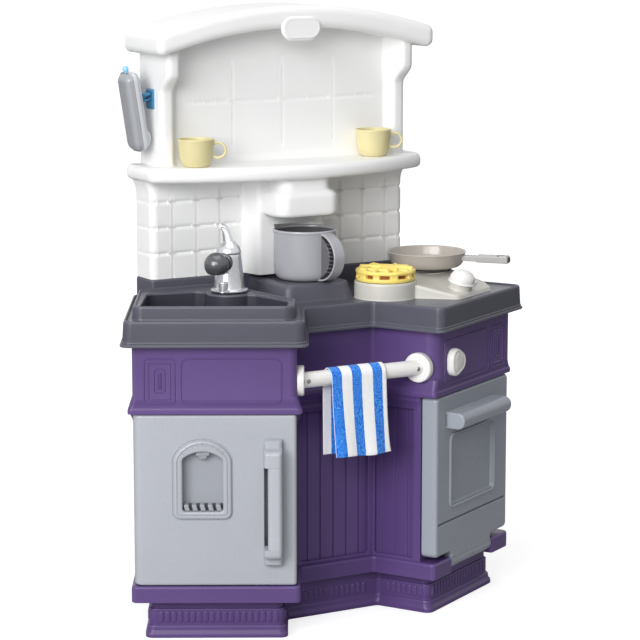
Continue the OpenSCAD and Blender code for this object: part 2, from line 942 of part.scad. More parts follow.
// Beige cooktop: two round platforms, a web and the sloped knob panel
module cooktop() {
  rise = cook_top - deck_z;
  color("#d2cfc4")
    on_right()
      difference() {
        union() {
          for (p = [[front_burner, front_burner_r], [rear_burner, rear_burner_r]])
            translate([p[0][0], p[0][1], deck_z])
              cylinder(r = p[1], h = rise);
          translate([0, 0, deck_z])
            linear_extrude(rise - 1)
              polygon([[60, 82], [98, 108], [160, 130], [200, 98], [206, 190], [150, 178],
                [60, 172]]);
          difference() {
            slab([[58, 84], [76, 8], [192, 8], [210, 30], [214, 104], [150, 140], [90, 130]],
              9, deck_z, cook_top);
            translate([0, panel_front, deck_z + panel_edge])
              rotate([panel_tilt, 0, 0])
                translate([20, -60, 0])
                  cube(through);
          }
          on_panel(stove_knob_at)
            translate([0, 0, -5])
              cylinder(r = knob_boss_r, h = 5 + knob_boss_h);
        }
        on_panel(stove_knob_at)
          translate([0, 0, knob_boss_h - 12])
            cylinder(d = spindle_d + 2 * run_gap, h = 20);
        // room for the foot of the pedestal
        rotate(-wing_angle)
          translate([-inner_half, -yin, 0])
            pedestal(seat_gap);
      }
}

// Height of the sloped panel, which rises towards the back
function panel_z(y) = deck_z + panel_edge + (y - panel_front) * tan(panel_tilt);

module on_panel(p) {
  translate([p[0], p[1], panel_z(p[1])])
    rotate([panel_tilt, 0, 0])
      children();
}

// Dark disc on the rear platform
module burner_disc() {
  color("#4a4744")
    on_right()
      translate([rear_burner[0], rear_burner[1], cook_top])
        difference() {
          cylinder(r = rear_burner_r - 3, h = disc_h);
          translate([0, 0, 1.2])
            difference() {
              cylinder(r = 34, h = 2);
              translate([0, 0, -1])
                cylinder(r = 30, h = 4);
            }
        }
}

// White dome knob on the sloped panel
module stove_knob() {
  color("#f3f3f3")
    on_right()
      on_panel(stove_knob_at)
        translate([0, 0, knob_boss_h + seat_gap]) {
            cylinder(r = stove_knob_r, h = 3);
            translate([0, 0, 3])
              cylinder(r1 = stove_knob_r - 1, r2 = stove_knob_r - 5, h = 3);
            intersection() {
              translate([0, 0, -1])
                sphere(r = stove_knob_r - 3);
              translate([-30, -30, 3])
                cube([60, 60, 40]);
            }
            translate([0, 0, -10])
              cylinder(d = spindle_d, h = 11);
          }
}

// White three-cornered inlay beside the dome knob
module stove_inlay() {
  color("#f0f0f0")
    on_right()
      on_panel([188, 38])
        linear_extrude(1.5)
          polygon([[-12, -12], [14, -4], [-2, 20]]);
}

// Silver tap column with its flange
module tap_column() {
  color("#c8ccd2")
    on_left()
      translate([tap_at[0], tap_at[1], rim_z])
        difference() {
          union() {
            cylinder(r = tap_flange_r, h = 3);
            cylinder(r1 = tap_r_low, r2 = tap_r_high, h = tap_h);
            translate([0, 0, -6])
              cylinder(r = drain_r - 0.3, h = 7);
            // small boss at the foot, under the spout
            rotate(-90 - spout_turn)
              translate([22, 0, 0])
                cylinder(r = 8, h = 17);
          }
          translate([0, 0, tap_h - lever_pin_h - 1])
            cylinder(d = lever_pin_d + 2 * run_gap, h = lever_pin_h + 2);
        }
}

// Dark rounded spout on the side of the column
module tap_spout() {
  flat = 15;
  color("#4e5055")
    on_left()
      translate([tap_at[0], tap_at[1], spout_z])
        rotate(-90 - spout_turn)
          difference() {
            intersection() {
              union() {
                translate([spout_reach, 0, 0])
                  sphere(r = 19.6);
                rotate([0, 90, 0])
                  cylinder(r = 13, h = spout_reach);
                translate([19, 0, 0])
                  rotate([0, 90, 0])
                    cylinder(r = 15, h = 8);
              }
              translate([0, -40, -flat])
                cube([100, 80, 80]);
            }
            translate([0, 0, rim_z - spout_z])
              cylinder(r1 = tap_r_low, r2 = tap_r_high, h = tap_h);
            translate([0, 0, rim_z - spout_z + tap_h - eps])
              cylinder(r = tap_r_high + 1, h = 40);
            translate([spout_reach + 2, 0, -flat - 1])
              cylinder(r = 9, h = 7);
          }
}

// Domed cap with the lever, turns on the column
module tap_lever() {
  stem_h = 25;
  color("#d3d6db")
    on_left()
      translate([tap_at[0], tap_at[1], rim_z + tap_h + seat_gap]) {
        intersection() {
          translate([0, 0, -1])
            sphere(r = tap_r_high + 0.5);
          translate([-30, -30, 0])
            cube([60, 60, 40]);
        }
        translate([0, 0, -lever_pin_h])
          cylinder(d = lever_pin_d, h = lever_pin_h + 1);
        translate([0, 0, 14])
          rotate([0, 13, 0]) {
            cylinder(r1 = 8, r2 = 6.3, h = stem_h);
            translate([0, 0, stem_h])
              sphere(r = 6.3);
            translate([0, 0, stem_h + 1])
              rotate([0, 100, 0])
                cylinder(r = 4.5, h = 6);
            translate([6, 0, stem_h + 2])
              sphere(r = 5);
          }
      }
}

// White bar across the recess
module towel_bar() {
  color("#f2f2f2")
    difference() {
      translate([-bar_end_x - 20, bar_y, bar_z])
        rotate([0, 90, 0])
          cylinder(d = bar_d, h = 2 * bar_end_x + 40);
      for (side = [0, 1])
        mirror([side, 0, 0]) {
          bar_limit(0);
          translate([bar_end_x - spigot_l, bar_y, bar_z])
            rotate([0, 90, 0])
              cylinder(d = spigot_d, h = 60);
          bar_screw_at() {
            cylinder(d = 3.6, h = 14);
            translate([0, 0, 11])
              cylinder(d = 7.6, h = 10);
          }
        }
    }
}

// All that lies behind the bed of the bar end in a flange
module bar_limit(g) {
  on_right()
    box([-flange_t / 2 + g, flange_y - 60, bar_z - 40], [40, flange_y + 60, bar_z + 40]);
}

// Frame of a bar screw: its axis points out of the front of the bar
module bar_screw_at() {
  translate([bar_screw_x, bar_y, bar_z])
    rotate([90, 0, 0])
      children();
}

// Round flange: seats on the side wall of a wing, faces along that wall's normal
module bar_flange() {
  on_right()
    translate([0, flange_y, bar_z])
      rotate([0, -90, 0])
        cylinder(r = flange_r, h = flange_t);
}

module flange_right() {
  color("#f2f2f2")
    difference() {
      union() {
        difference() {
          bar_flange();
          difference() {
            translate([0, bar_y, bar_z])
              rotate([0, 90, 0])
                cylinder(d = bar_d + 0.1, h = 2 * bar_end_x);
            bar_limit(0);
          }
        }
        // spigot inside the end of the bar
        difference() {
          translate([bar_end_x - spigot_l + seat_gap, bar_y, bar_z])
            rotate([0, 90, 0])
              cylinder(d = spigot_d - 0.1, h = spigot_l + 10);
          bar_limit(0.5);
        }
      }
      bar_screw_at()
        cylinder(d = 3, h = 14);
    }
}

module flange_left() {
  mirror([1, 0, 0])
    flange_right();
}

// Screws through the bar into the spigots of the flanges
module bar_screws() {
  color("#9b9ea4")
    for (side = [0, 1])
      mirror([side, 0, 0])
        bar_screw_at() {
          cylinder(d = 3, h = 12);
          translate([0, 0, 11])
            cylinder(d = 7, h = 2);
        }
}

// Path of the towel: s runs up the front, over the bar and down the back, u goes across
function over(s) = max(0, min(PI * towel_r, s - towel_front_l)) / towel_r * 180 / PI;
function hang(s) = max(0, towel_front_l - s, s - towel_front_l - PI * towel_r);
function droop(s) = pow(hang(s) / towel_front_l, 1.4);

// off is the distance from the middle of the cloth, outwards from the bar
function towel_point(s, u, off) =
  let (a = over(s), out = [0, -cos(a), sin(a)])
  let (fold = fold_h * droop(s) * (1 - cos(360 * fold_n * u)) / 2)
  [towel_x + (u - 0.5) * towel_w * (1 + 0.03 * droop(s)) + towel_w / 2,
    bar_y + out[1] * (towel_r + fold + off), bar_z - hang(s) + out[2] * (towel_r + off)];

// Towel hanging over the bar in shallow folds
module towel() {
  ns = len(towel_s);
  nu = towel_nu + 1;
  side = ns * nu;
  pts = [for (off = [towel_t / 2, -towel_t / 2])
    for (s = towel_s)
      for (j = [0:towel_nu]) towel_point(s, j / towel_nu, off)];
  quads = concat(
    [for (i = [0:ns - 2]) for (j = [0:nu - 2])
      let (k = i * nu + j) [k, k + 1, k + nu + 1, k + nu]],
    [for (i = [0:ns - 2]) for (j = [0:nu - 2])
      let (k = side + i * nu + j) [k + nu, k + nu + 1, k + 1, k]],
    [for (i = [0:ns - 2]) let (k = i * nu) [k, k + nu, side + k + nu, side + k]],
    [for (i = [0:ns - 2]) let (k = i * nu + nu - 1) [k + nu, k, side + k, side + k + nu]],
    [for (j = [0:nu - 2]) [j + 1, j, side + j, side + j + 1]],
    [for (j = [0:nu - 2]) let (k = (ns - 1) * nu + j) [k, k + 1, side + k + 1, side + k]]);
  color("#f4f4f4")
    polyhedron(pts, [for (q = quads) for (t = [[q[2], q[1], q[0]], [q[3], q[2], q[0]]]) t]);
}

// Blue clip on the side of the wall, holds the phone
module phone_clip() {
  color("#2f8fc4") {
    translate([-upper_half, phone_y, phone_z + clip_rise])
      box([-3, -13, -16], [0, 13, 16]);
    phone_frame()
      box([clip_in, -clip_w / 2, clip_low], [31, clip_w / 2, clip_high]);
  }
}

module phone_frame() {
  translate([phone_x, phone_y, phone_z])
    rotate([0, -phone_tilt, 0])
      children();
}

// Outline of the phone across its broad face, extruded along its thickness
module phone_shell(t, grow) {
  w = phone_w + 2 * grow;
  l = phone_l + 2 * grow;
  rotate([90, 0, 90])
    linear_extrude(t)
      round_plan([[-w / 2, -l / 2], [w / 2, -l / 2], [w / 2, l / 2], [-w / 2, l / 2]], 15);
}

module phone_front() {
  color("#b9bcc2")
    phone_frame() {
      translate([-15, 0, 0])
        phone_shell(9, -2.5);
      translate([-8, 0, 0])
        phone_shell(8, 0);
    }
}

module phone_back() {
  end = phone_l / 2 - 20;
  color("#c9ccd1")
    phone_frame()
      difference() {
        union() {
          phone_shell(6, 0);
          translate([6, 0, 0])
            phone_shell(6, -2.5);
          translate([11, 0, -end])
            rotate([0, 90, 0])
              cylinder(r = 14, h = 7);
          translate([11, 0, end])
            rotate([0, 90, 0])
              cylinder(r = 14, h = 4);
        }
        // bed of the clip
        box([clip_in - rest_gap, -clip_w / 2 - rest_gap, clip_low - 3],
          [40, clip_w / 2 + rest_gap, clip_high + rest_gap]);
      }
}

module phone_antenna() {
  ball_r = 5;
  color("#8ccbe8")
    phone_frame()
      translate([-2, 0, phone_l / 2]) {
        cylinder(r = ball_r, h = ball_r);
        translate([0, 0, ball_r])
          sphere(r = ball_r);
      }
}

// Coffee pot with its strap handle
module coffee_pot() {
  t = 2.5;
  round_r = 13;
  loop_r = pot_h / 2 - 2;
  strap_t = 3;
  strap_w = 22;
  rung_n = 7;
  rung_pitch = 6.6;
  color("#9a9ca1")
    translate([pot_at[0], pot_at[1], pedestal_top + rest_gap])
      difference() {
        union() {
          rotate_extrude() {
            square([pot_r - round_r, 2 * round_r]);
            translate([0, round_r])
              square([pot_r, pot_h - round_r]);
            translate([pot_r - round_r, round_r])
              circle(r = round_r);
          }
          // broad strap handle with a row of rungs inside
          rotate(12)
            translate([0, -pot_r + 6, pot_h / 2 - 1])
              rotate([0, 90, 0]) {
                difference() {
                  cylinder(r = loop_r, h = strap_w, center = true);
                  cylinder(r = loop_r - strap_t, h = strap_w + 2, center = true);
                  translate([-60, 0, -20])
                    cube([120, 60, 40]);
                }
                intersection() {
                  cylinder(r = loop_r - 1, h = strap_w - 4, center = true);
                  translate([0, -loop_r, 0])
                    for (i = [0:rung_n - 1])
                      translate([(i - (rung_n - 1) / 2) * rung_pitch, 0, 0])
                        cube([1.6, 22, strap_w - 4], center = true);
                }
              }
        }
        translate([0, 0, t])
          cylinder(r = pot_r - t - 6, h = pot_h);
        translate([0, 0, round_r])
          cylinder(r = pot_r - t, h = pot_h);
      }
}

// Angle of the point where a bowl side leaves its bottom round
function side_a(b, c, r, h) = atan2(h - c, r - b) - acos(c / norm([r - b, h - c]));

// Half profile of a bowl: flat to radius b, bottom round c, rim radius r at height h
module bowl(b, c, r, h) {
  a = side_a(b, c, r, h);
  polygon([[0, 0], [b, 0], [b, c], [b + c * cos(a), c + c * sin(a)], [r, h], [0, h]]);
  translate([b, c])
    circle(r = c);
}

// Shallow pan with a bar handle
module pan() {
  t = 2.5;
  h = 26;
  flat_r = pan_r - 16.5;
  round_r = 12;
  neck = 22;
  grip = 53.5;
  grip_low = h - 15;
  grip_high = h - 4;
  slot_l = 14;
  slot_w = 8;
  slot_end = pan_r + neck + grip - 6;
  color("#a59b90")
    on_right()
      translate([pan_at[0], pan_at[1], cook_top + disc_h + rest_gap])
        rotate(-78)
          difference() {
            union() {
              rotate_extrude()
                bowl(flat_r, round_r, pan_r, h);
              box([pan_r - 6, -7, grip_low + 1], [pan_r + neck + 1, 7, grip_high - 1]);
              box([pan_r + neck, -9, grip_low], [pan_r + neck + grip, 9, grip_high]);
            }
            translate([0, 0, t])
              rotate_extrude()
                bowl(flat_r, round_r - t, pan_r - t + 0.3, h - t + 1);
            box([slot_end - slot_l, -slot_w / 2, 0], [slot_end, slot_w / 2, h]);
          }
}

// Round waffle with a lattice
module waffle() {
  r = 48.5;
  color("#f3dc7c")
    on_right()
      translate([front_burner[0], front_burner[1], cook_top + rest_gap])
        difference() {
          union() {
            cylinder(r = r, h = 13);
            translate([0, 0, 12])
              difference() {
                cylinder(r = r - 3, h = 7);
                for (x = [-36:18:36])
                  for (y = [-36:18:36])
                    translate([x - 6, y - 6, -1])
                      cube([12, 12, 10]);
              }
          }
          for (a = [0:30:330])
            rotate(a)
              translate([r - 8, -5, 4])
                cube([12, 10, 5]);
        }
}

// Cup with a ring handle, resting on the shelf
module cup() {
  t = 2;
  base_r = cup_r * 0.66;
  low_h = 10;
  difference() {
    union() {
      cylinder(r1 = base_r, r2 = cup_r - 4, h = low_h);
      translate([0, 0, low_h])
        cylinder(r1 = cup_r - 4, r2 = cup_r, h = cup_h - low_h);
      translate([cup_r + 5.5, 0, cup_h / 2 + 4])
        rotate([90, 0, 0])
          rotate_extrude()
            translate([12, 0])
              circle(r = 2.2, $fn = 32);
    }
    translate([0, 0, t])
      cylinder(r1 = base_r - t, r2 = cup_r - 4 - t, h = low_h);
    translate([0, 0, low_h + t - eps])
      cylinder(r1 = cup_r - 4 - t, r2 = cup_r - t, h = cup_h - low_h);
  }
}

module cup_left() {
  color("#e6dfa4")
    translate([cup_left_x, wy - cup_left_out, shelf_top + rest_gap])
      rotate(cup_turn)
        cup();
}

module cup_right() {
  color("#e6dfa4")
    translate([cup_right_x, wy - cup_right_out, shelf_top + rest_gap])
      rotate(cup_turn)
        cup();
}

plinth();
cabinet();
countertop();
sink_drain();
lower_wall();
coffee_head();
shelf();
upper_wall();
arch_cap();
plaque();
wall_screws();
fridge_door();
fridge_pins();
dispenser();
fridge_shelf();
oven_door();
oven_pins();
oven_rack();
oven_knob();
cooktop();
burner_disc();
stove_knob();
stove_inlay();
tap_column();
tap_spout();
tap_lever();
towel_bar();
flange_left();
flange_right();
bar_screws();
towel();
phone_clip();
phone_front();
phone_back();
phone_antenna();
coffee_pot();
pan();
waffle();
cup_left();
cup_right();
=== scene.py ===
from math import atan2, ceil, cos, pi, radians, sin, sqrt, tan

import bmesh
import bpy
from mathutils import Matrix, Vector, noise


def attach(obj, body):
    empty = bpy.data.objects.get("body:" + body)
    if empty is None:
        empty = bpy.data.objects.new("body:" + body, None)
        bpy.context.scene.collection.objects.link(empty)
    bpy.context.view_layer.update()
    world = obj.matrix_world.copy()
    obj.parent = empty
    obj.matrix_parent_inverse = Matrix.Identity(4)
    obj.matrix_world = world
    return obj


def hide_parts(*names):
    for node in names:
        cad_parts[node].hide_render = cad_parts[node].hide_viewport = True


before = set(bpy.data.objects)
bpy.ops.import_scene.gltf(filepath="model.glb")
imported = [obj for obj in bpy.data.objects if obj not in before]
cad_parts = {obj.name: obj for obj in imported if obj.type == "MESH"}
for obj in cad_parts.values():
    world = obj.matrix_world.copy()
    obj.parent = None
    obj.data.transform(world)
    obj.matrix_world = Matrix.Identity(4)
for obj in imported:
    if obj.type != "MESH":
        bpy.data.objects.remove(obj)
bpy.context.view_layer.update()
scene = bpy.context.scene
scene.view_settings.view_transform = "Standard"


# The stage: the photographer stands in front of the left wing and looks slightly down.
# A white backdrop, a pale floor and three large soft lamps, the strongest of them on the left.

def paint(r, g, b):
    """A colour as it is seen on a screen, 0 to 255, turned into the linear one that is rendered."""
    return [(v / 255 / 12.92 if v < 10.3 else ((v / 255 + 0.055) / 1.055) ** 2.4)
            for v in (r, g, b)] + [1.0]


camera = bpy.data.objects.new("camera", bpy.data.cameras.new("camera"))
camera.data.lens = 140.625
camera.data.sensor_width = 36
camera.data.clip_start = 0.1
camera.data.clip_end = 120
camera.location = (-1.9749, -3.4475, 1.1602)
look_down, look_aside = 9.772, 29.854
camera.rotation_euler = (radians(90 - look_down), 0, radians(-look_aside))
scene.collection.objects.link(camera)
scene.camera = camera


def lamp(name, place, aim, size, power):
    """A large soft lamp that looks at aim."""
    light = bpy.data.lights.new(name, "AREA")
    light.shape = "RECTANGLE"
    light.size, light.size_y = size
    light.energy = power
    thing = bpy.data.objects.new(name, light)
    thing.location = place
    thing.rotation_euler = (Vector(aim) - Vector(place)).to_track_quat("-Z", "Y").to_euler()
    scene.collection.objects.link(thing)


lamp("window_lamp", (-3.5, -2.1, 1.9), (0, 0, 0.5), (2.2, 2.4), 138)
lamp("front_lamp", (-2.4, -3.7, 2.4), (0, 0, 0.5), (2, 1.4), 48)
lamp("ceiling_lamp", (0, -0.3, 3.2), (0, 0, 0.4), (2.4, 2.4), 33)


def shader(tree, kind, inputs=None, **settings):
    """A new shader node; each input takes a value or another node's output."""
    made = tree.nodes.new("ShaderNode" + kind)
    for setting, value in settings.items():
        setattr(made, setting, value)
    for socket, value in (inputs or {}).items():
        if hasattr(value, "is_output"):
            tree.links.new(value, made.inputs[socket])
        else:
            made.inputs[socket].default_value = value
    return made


def seen_directly(tree, also=("Is Glossy Ray", "Is Transmission Ray")):
    """1 for what the camera sees, itself or in something shiny or clear; 0 for other light."""
    path = shader(tree, "LightPath")
    either = path.outputs["Is Camera Ray"]
    for name in also:
        more = shader(tree, "Math", {0: either, 1: path.outputs[name]}, operation="MAXIMUM")
        either = more.outputs[0]
    return either


def backdrop():
    """Plain white where it is seen, and a soft grey light on everything."""
    world = bpy.data.worlds.new("studio")
    scene.world = world
    world.use_nodes = True
    tree = world.node_tree
    tree.nodes.clear()
    soft = shader(tree, "Background", {"Color": (0.93, 0.95, 1, 1), "Strength": 0.22})
    white = shader(tree, "Background", {"Color": (1, 1, 1, 1), "Strength": 1})
    mix = shader(tree, "MixShader", {0: seen_directly(tree), 1: soft.outputs[0], 2: white.outputs[0]})
    shader(tree, "OutputWorld", {"Surface": mix.outputs[0]})


backdrop()


def studio_floor():
    """Pale paper that glows a little more with distance, so that it fades into the backdrop."""
    reach = 40
    corners = [(-reach, -reach, 0), (reach, -reach, 0), (reach, reach, 0), (-reach, reach, 0)]
    mesh = bpy.data.meshes.new("floor")
    mesh.from_pydata(corners, [], [(0, 1, 2, 3)])
    floor = bpy.data.objects.new("floor", mesh)
    scene.collection.objects.link(floor)
    mat = bpy.data.materials.new("floor_paper")
    mat.use_nodes = True
    tree = mat.node_tree
    paper = tree.nodes["Principled BSDF"]
    paper.inputs["Base Color"].default_value = (0.5, 0.5, 0.5, 1)
    paper.inputs["Roughness"].default_value = 0.9
    paper.inputs["Specular IOR Level"].default_value = 0.1
    place = shader(tree, "TexCoord")
    away = shader(tree, "VectorMath", {0: place.outputs["Object"]}, operation="LENGTH")
    whiter = shader(tree, "MapRange", {"Value": away.outputs["Value"], "From Min": 0.5, "From Max": 2.2,
                                       "To Min": 0.74, "To Max": 0.95})
    glow = shader(tree, "Emission", {"Strength": whiter.outputs["Result"]})
    both = shader(tree, "AddShader", {0: paper.outputs[0], 1: glow.outputs[0]})
    seen = seen_directly(tree, also=("Is Transmission Ray",))
    mix = shader(tree, "MixShader", {0: seen, 1: paper.outputs[0], 2: both.outputs[0]})
    tree.links.new(mix.outputs[0], tree.nodes["Material Output"].inputs["Surface"])
    mesh.materials.append(mat)


studio_floor()


# Plinth: the hollow purple foot under both wings, moulded in one with the cabinet.
# A flared foot, a band of small upright ribs and a plain neck, in pebbled polyethylene.
# Its sizes, like all others, are in millimetres; the wings are mirror images of each other.

MILLIMETRE = 0.001
WING_ANGLE = radians(29.3)
WING_WIDTH = 254
INNER_EDGE = 127.4
INNER_FRONT = -158.158
RECESS_FACE = INNER_FRONT + 103
BACK_FACE = 181.642
PLINTH_IN, PLINTH_SIDE_IN = 23, 20
PLINTH_TOP = 62.5
RIB_LOW, RIB_TOP, RIB_PITCH = 25, 42.5, 10


def blend(tree, kind, factor, a, b):
    """Two colours mixed into one. The mix node has its colour sockets at 6 and 7, and 2 going out."""
    mix = shader(tree, "Mix", {0: factor, 6: a, 7: b}, data_type="RGBA", blend_type=kind)
    return mix.outputs[2]


def moulded(name, colour, rough=0.45, grain=0.12, cell=700, cloud=0.05, patch=7, edge_highlight=0.25,
            shine=0.5, bleed=0.0):
    """Moulded plastic: cloudy colour, fine pebble grain, and a painted highlight that makes sharp edges
    paler.
    """
    mat = bpy.data.materials.new(name)
    mat.use_nodes = True
    tree = mat.node_tree
    body = tree.nodes["Principled BSDF"]
    place = shader(tree, "TexCoord").outputs["Object"]

    def speckle(scale, detail, low, high):
        """A noise, as it comes and stretched to lie between low and high."""
        noisy = shader(tree, "TexNoise", {"Scale": scale, "Detail": detail, "Vector": place})
        plain = noisy.outputs["Fac"]
        spread = shader(tree, "MapRange", {"Value": plain, "From Min": 0.3, "From Max": 0.7,
                                           "To Min": low, "To Max": high})
        return plain, spread.outputs["Result"]

    clouds = speckle(patch, 5, 1 - cloud, 1 + cloud)[1]
    fine, rub = speckle(cell, 2, -0.04, 0.04)
    shade = blend(tree, "MULTIPLY", 1.0, list(colour), clouds)
    # Painted highlight: where the surface is pointy, at sharp edges and beads, the colour is mixed
    # towards a paler one.
    if edge_highlight:
        edge = shader(tree, "NewGeometry").outputs["Pointiness"]
        highlight_mask = shader(tree, "MapRange", {"Value": edge, "From Min": 0.52, "From Max": 0.62,
                                          "To Max": edge_highlight})
        pale = [min(1, v * 1.35 + 0.04) for v in colour[:3]] + [1]
        shade = blend(tree, "MIX", highlight_mask.outputs["Result"], shade, pale)
    gloss = shader(tree, "Math", {0: rub, 1: rough}, operation="ADD")
    bump = shader(tree, "Bump", {"Strength": grain, "Distance": 0.0006, "Height": fine})
    tree.links.new(shade, body.inputs["Base Color"])
    tree.links.new(gloss.outputs[0], body.inputs["Roughness"])
    tree.links.new(bump.outputs["Normal"], body.inputs["Normal"])
    body.inputs["Specular IOR Level"].default_value = shine
    if bleed:
        body.inputs["Subsurface Weight"].default_value = bleed
        body.inputs["Subsurface Radius"].default_value = (0.004, 0.004, 0.004)
    return mat


def wing(u, d, z, side=1):
    """A point of a wing: u along its front, outwards, d into its depth. side is -1 for the left."""
    x = INNER_EDGE + u * cos(WING_ANGLE) - d * sin(WING_ANGLE)
    y = INNER_FRONT + u * sin(WING_ANGLE) + d * cos(WING_ANGLE)
    return Vector((side * x, y, z))


def depth_at(u, y):
    """How deep in a wing the point lies that is u along its front and at y in the kitchen."""
    return (y - INNER_FRONT - u * sin(WING_ANGLE)) / cos(WING_ANGLE)


def front(side=1, depth=0):
    """Lets a shape be drawn on a wing's front: x outwards, z up, h out of the face."""
    return lambda x, z, h: wing(x, depth - h, z, side)


def cheek(side=1, edge=0):
    """Lets a shape be drawn on a wing's side towards the recess: x into the depth, z up."""
    return lambda x, z, h: wing(edge - h, x, z, side)


def facing(y):
    """Lets a shape be drawn on an upright face that looks straight forward."""
    return lambda x, z, h: Vector((x, y - h, z))


def plan(f=0, s=0, c=0, b=0):
    """Outline of the kitchen from above: f beyond the fronts, s the sides, c the recess, b the back."""
    half = [wing(-s, depth_at(-s, RECESS_FACE - c), 0), wing(-s, -f, 0),
            wing(WING_WIDTH + s, -f, 0),
            wing(WING_WIDTH + s, depth_at(WING_WIDTH + s, BACK_FACE + b), 0)]
    left = [Vector((-p.x, p.y, 0)) for p in reversed(half)]
    return [(p.x, p.y) for p in half + left]


def outline(points, radius, grow=0.0, steps=5, fine=0):
    """Closed anticlockwise outline with round corners, moved outwards by grow.
    With fine, its straight runs are cut into pieces no longer than that."""
    count, out = len(points), []
    for i, point in enumerate(points):
        here, after_here = Vector(point), Vector(points[(i + 1) % count])
        before = (here - Vector(points[i - 1])).normalized()
        after = (after_here - here).normalized()
        n0 = Vector((before.y, -before.x))
        n1 = Vector((after.y, -after.x))
        bend = 1 if before.x * after.y - before.y * after.x > 0 else -1
        r = radius[i] if hasattr(radius, "__len__") else radius
        centre = here - (n0 + n1) * (bend * r / (1 + n0.dot(n1)))
        start = atan2(n0.y, n0.x)
        swing = (atan2(n1.y, n1.x) - start + pi) % (2 * pi) - pi
        for k in range(steps + 1):
            t = start + swing * k / steps
            out.append(centre + Vector((cos(t), sin(t))) * (bend * r + grow))
    if fine:
        corners, out = out, []
        for i in range(count):
            out += corners[i * (steps + 1):(i + 1) * (steps + 1)]
            last, following = out[-1], corners[(i + 1) * (steps + 1) % len(corners)]
            parts = ceil((Vector(points[(i + 1) % count]) - Vector(points[i])).length / fine)
            out += [last.lerp(following, k / parts) for k in range(1, parts)]
    return out


def skin(mesh, rings, closed=True, cap_first=False, cap_last=False, skip=None):
    """Joins rings of points into one surface; skip leaves out one face, by ring and place."""
    rows = [[mesh.verts.new(p) for p in ring] for ring in rings]
    count = len(rows[0])
    for k, (low, high) in enumerate(zip(rows, rows[1:])):
        for i in range(count if closed else count - 1):
            j = (i + 1) % count
            if (k, i) != skip:
                mesh.faces.new((low[i], low[j], high[j], high[i]))
    for wanted, row in ((cap_first, rows[0]), (cap_last, rows[-1])):
        if wanted:
            mesh.faces.new(row)
    return rows


def relief(mesh, place, points, radius, steps, cap=True, arc=5, first=False):
    """A raised or sunk shape on a face: one ring for each (grow, height) in steps."""
    rings = []
    for grow, height in steps:
        rings.append([place(p.x, p.y, height) for p in outline(points, radius, grow, arc)])
    return skin(mesh, rings, cap_first=first, cap_last=cap)


def rect(x0, y0, x1, y1):
    return [(x0, y0), (x1, y0), (x1, y1), (x0, y1)]


def lift(points, z):
    return [(p.x, p.y, z) for p in points]


def settle(name, mesh, coat, body, nodes=(), smooth=38, weld=0.002):
    """Turns a mesh in millimetres into a piece: it rides on a body and stands for CAD nodes."""
    bmesh.ops.remove_doubles(mesh, verts=mesh.verts, dist=weld)
    bmesh.ops.recalc_face_normals(mesh, faces=mesh.faces)
    big = [f for f in mesh.faces if len(f.verts) > 4]
    bmesh.ops.triangulate(mesh, faces=big)
    data = bpy.data.meshes.new(name)
    mesh.to_mesh(data)
    mesh.free()
    data.transform(Matrix.Scale(MILLIMETRE, 4))
    data.polygons.foreach_set("use_smooth", [True] * len(data.polygons))
    data.set_sharp_from_angle(angle=radians(smooth))
    data.materials.append(coat)
    thing = bpy.data.objects.new(name, data)
    scene.collection.objects.link(thing)
    thing.modifiers.new("even_shading", "WEIGHTED_NORMAL").keep_sharp = True
    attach(thing, body)
    if nodes:
        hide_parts(*nodes)
    return thing


purple = moulded("purple_polyethylene", paint(88, 66, 119), rough=0.33, grain=0.08, cloud=0.08,
                 edge_highlight=0.9, shine=0.3)


def plinth():
    mesh = bmesh.new()
    corners = [9, 12, 12, 8, 8, 12, 12, 9]
    rings = []
    for grow, z in ((-9, 6), (3, 0), (5.2, 0.6), (6, 2.4), (6, 5.5), (5, 8.5), (3.2, 11),
                    (2.6, 14), (2.4, 17.5), (1.6, 19.4), (0, 20.2), (-0.4, 22), (-0.4, 44.4),
                    (-1, 45.7), (-2.2, 46.2), (-3, 47), (-3, PLINTH_TOP)):
        side = min(grow, 5) - PLINTH_SIDE_IN
        shape = plan(grow - PLINTH_IN, side, -9 + grow * 0.6, min(grow, 0) * 0.2)
        rings.append(lift(outline(shape, corners), z))
    skin(mesh, rings, cap_last=True)

    def ribs(place, start, end):
        """A row of upright ribs along a face."""
        half = 3.5
        for i in range(int((end - start) / RIB_PITCH) + 1):
            x = start + i * RIB_PITCH
            relief(mesh, place, rect(x - half, RIB_LOW, x + half, RIB_TOP), 3, (
                (0, -0.6), (0, 0.7), (-0.7, 1.5), (-1.6, 1.8)), arc=4)

    inner, outer = PLINTH_SIDE_IN, WING_WIDTH - PLINTH_SIDE_IN
    start = PLINTH_IN + 16
    for side in (1, -1):
        ribs(front(side, PLINTH_IN), inner + 14, outer - 14)
        ribs(cheek(side, inner), start, depth_at(inner, RECESS_FACE) - 2)
        ribs(lambda x, z, h: wing(outer + h, x, z, side), start, depth_at(outer, BACK_FACE) - 12)
    ribs(facing(RECESS_FACE + 9.4), -60, 60)
    settle("plinth_foot", mesh, purple, "frame", ["plinth"])


plinth()


# Cabinet: the purple body, rotomoulded in one piece from polyethylene about 3 mm thick.
# A ledge and a cornice go round it, with beadboard in the recess and a cavity behind each door.

LEDGE_LOW, LEDGE_TOP = 62, 89
LUG_WIDTH = 56
FRAME_LOW, FRAME_TOP = 88, 364
FIELD_LOW, FIELD_TOP = 94, 349
BOARD_DEEP = 6
BODY_TOP = 503.5
DOOR_DEPTH = 28.4


def level(x, y, z):
    """Lets a shape be drawn flat, as it is seen from above."""
    return (x, y, z)


def bridge(mesh, outer, inner):
    """Flat faces between two rows that have as many points."""
    count = len(outer)
    for i in range(count):
        j = (i + 1) % count
        mesh.faces.new((outer[i], outer[j], inner[j], inner[i]))


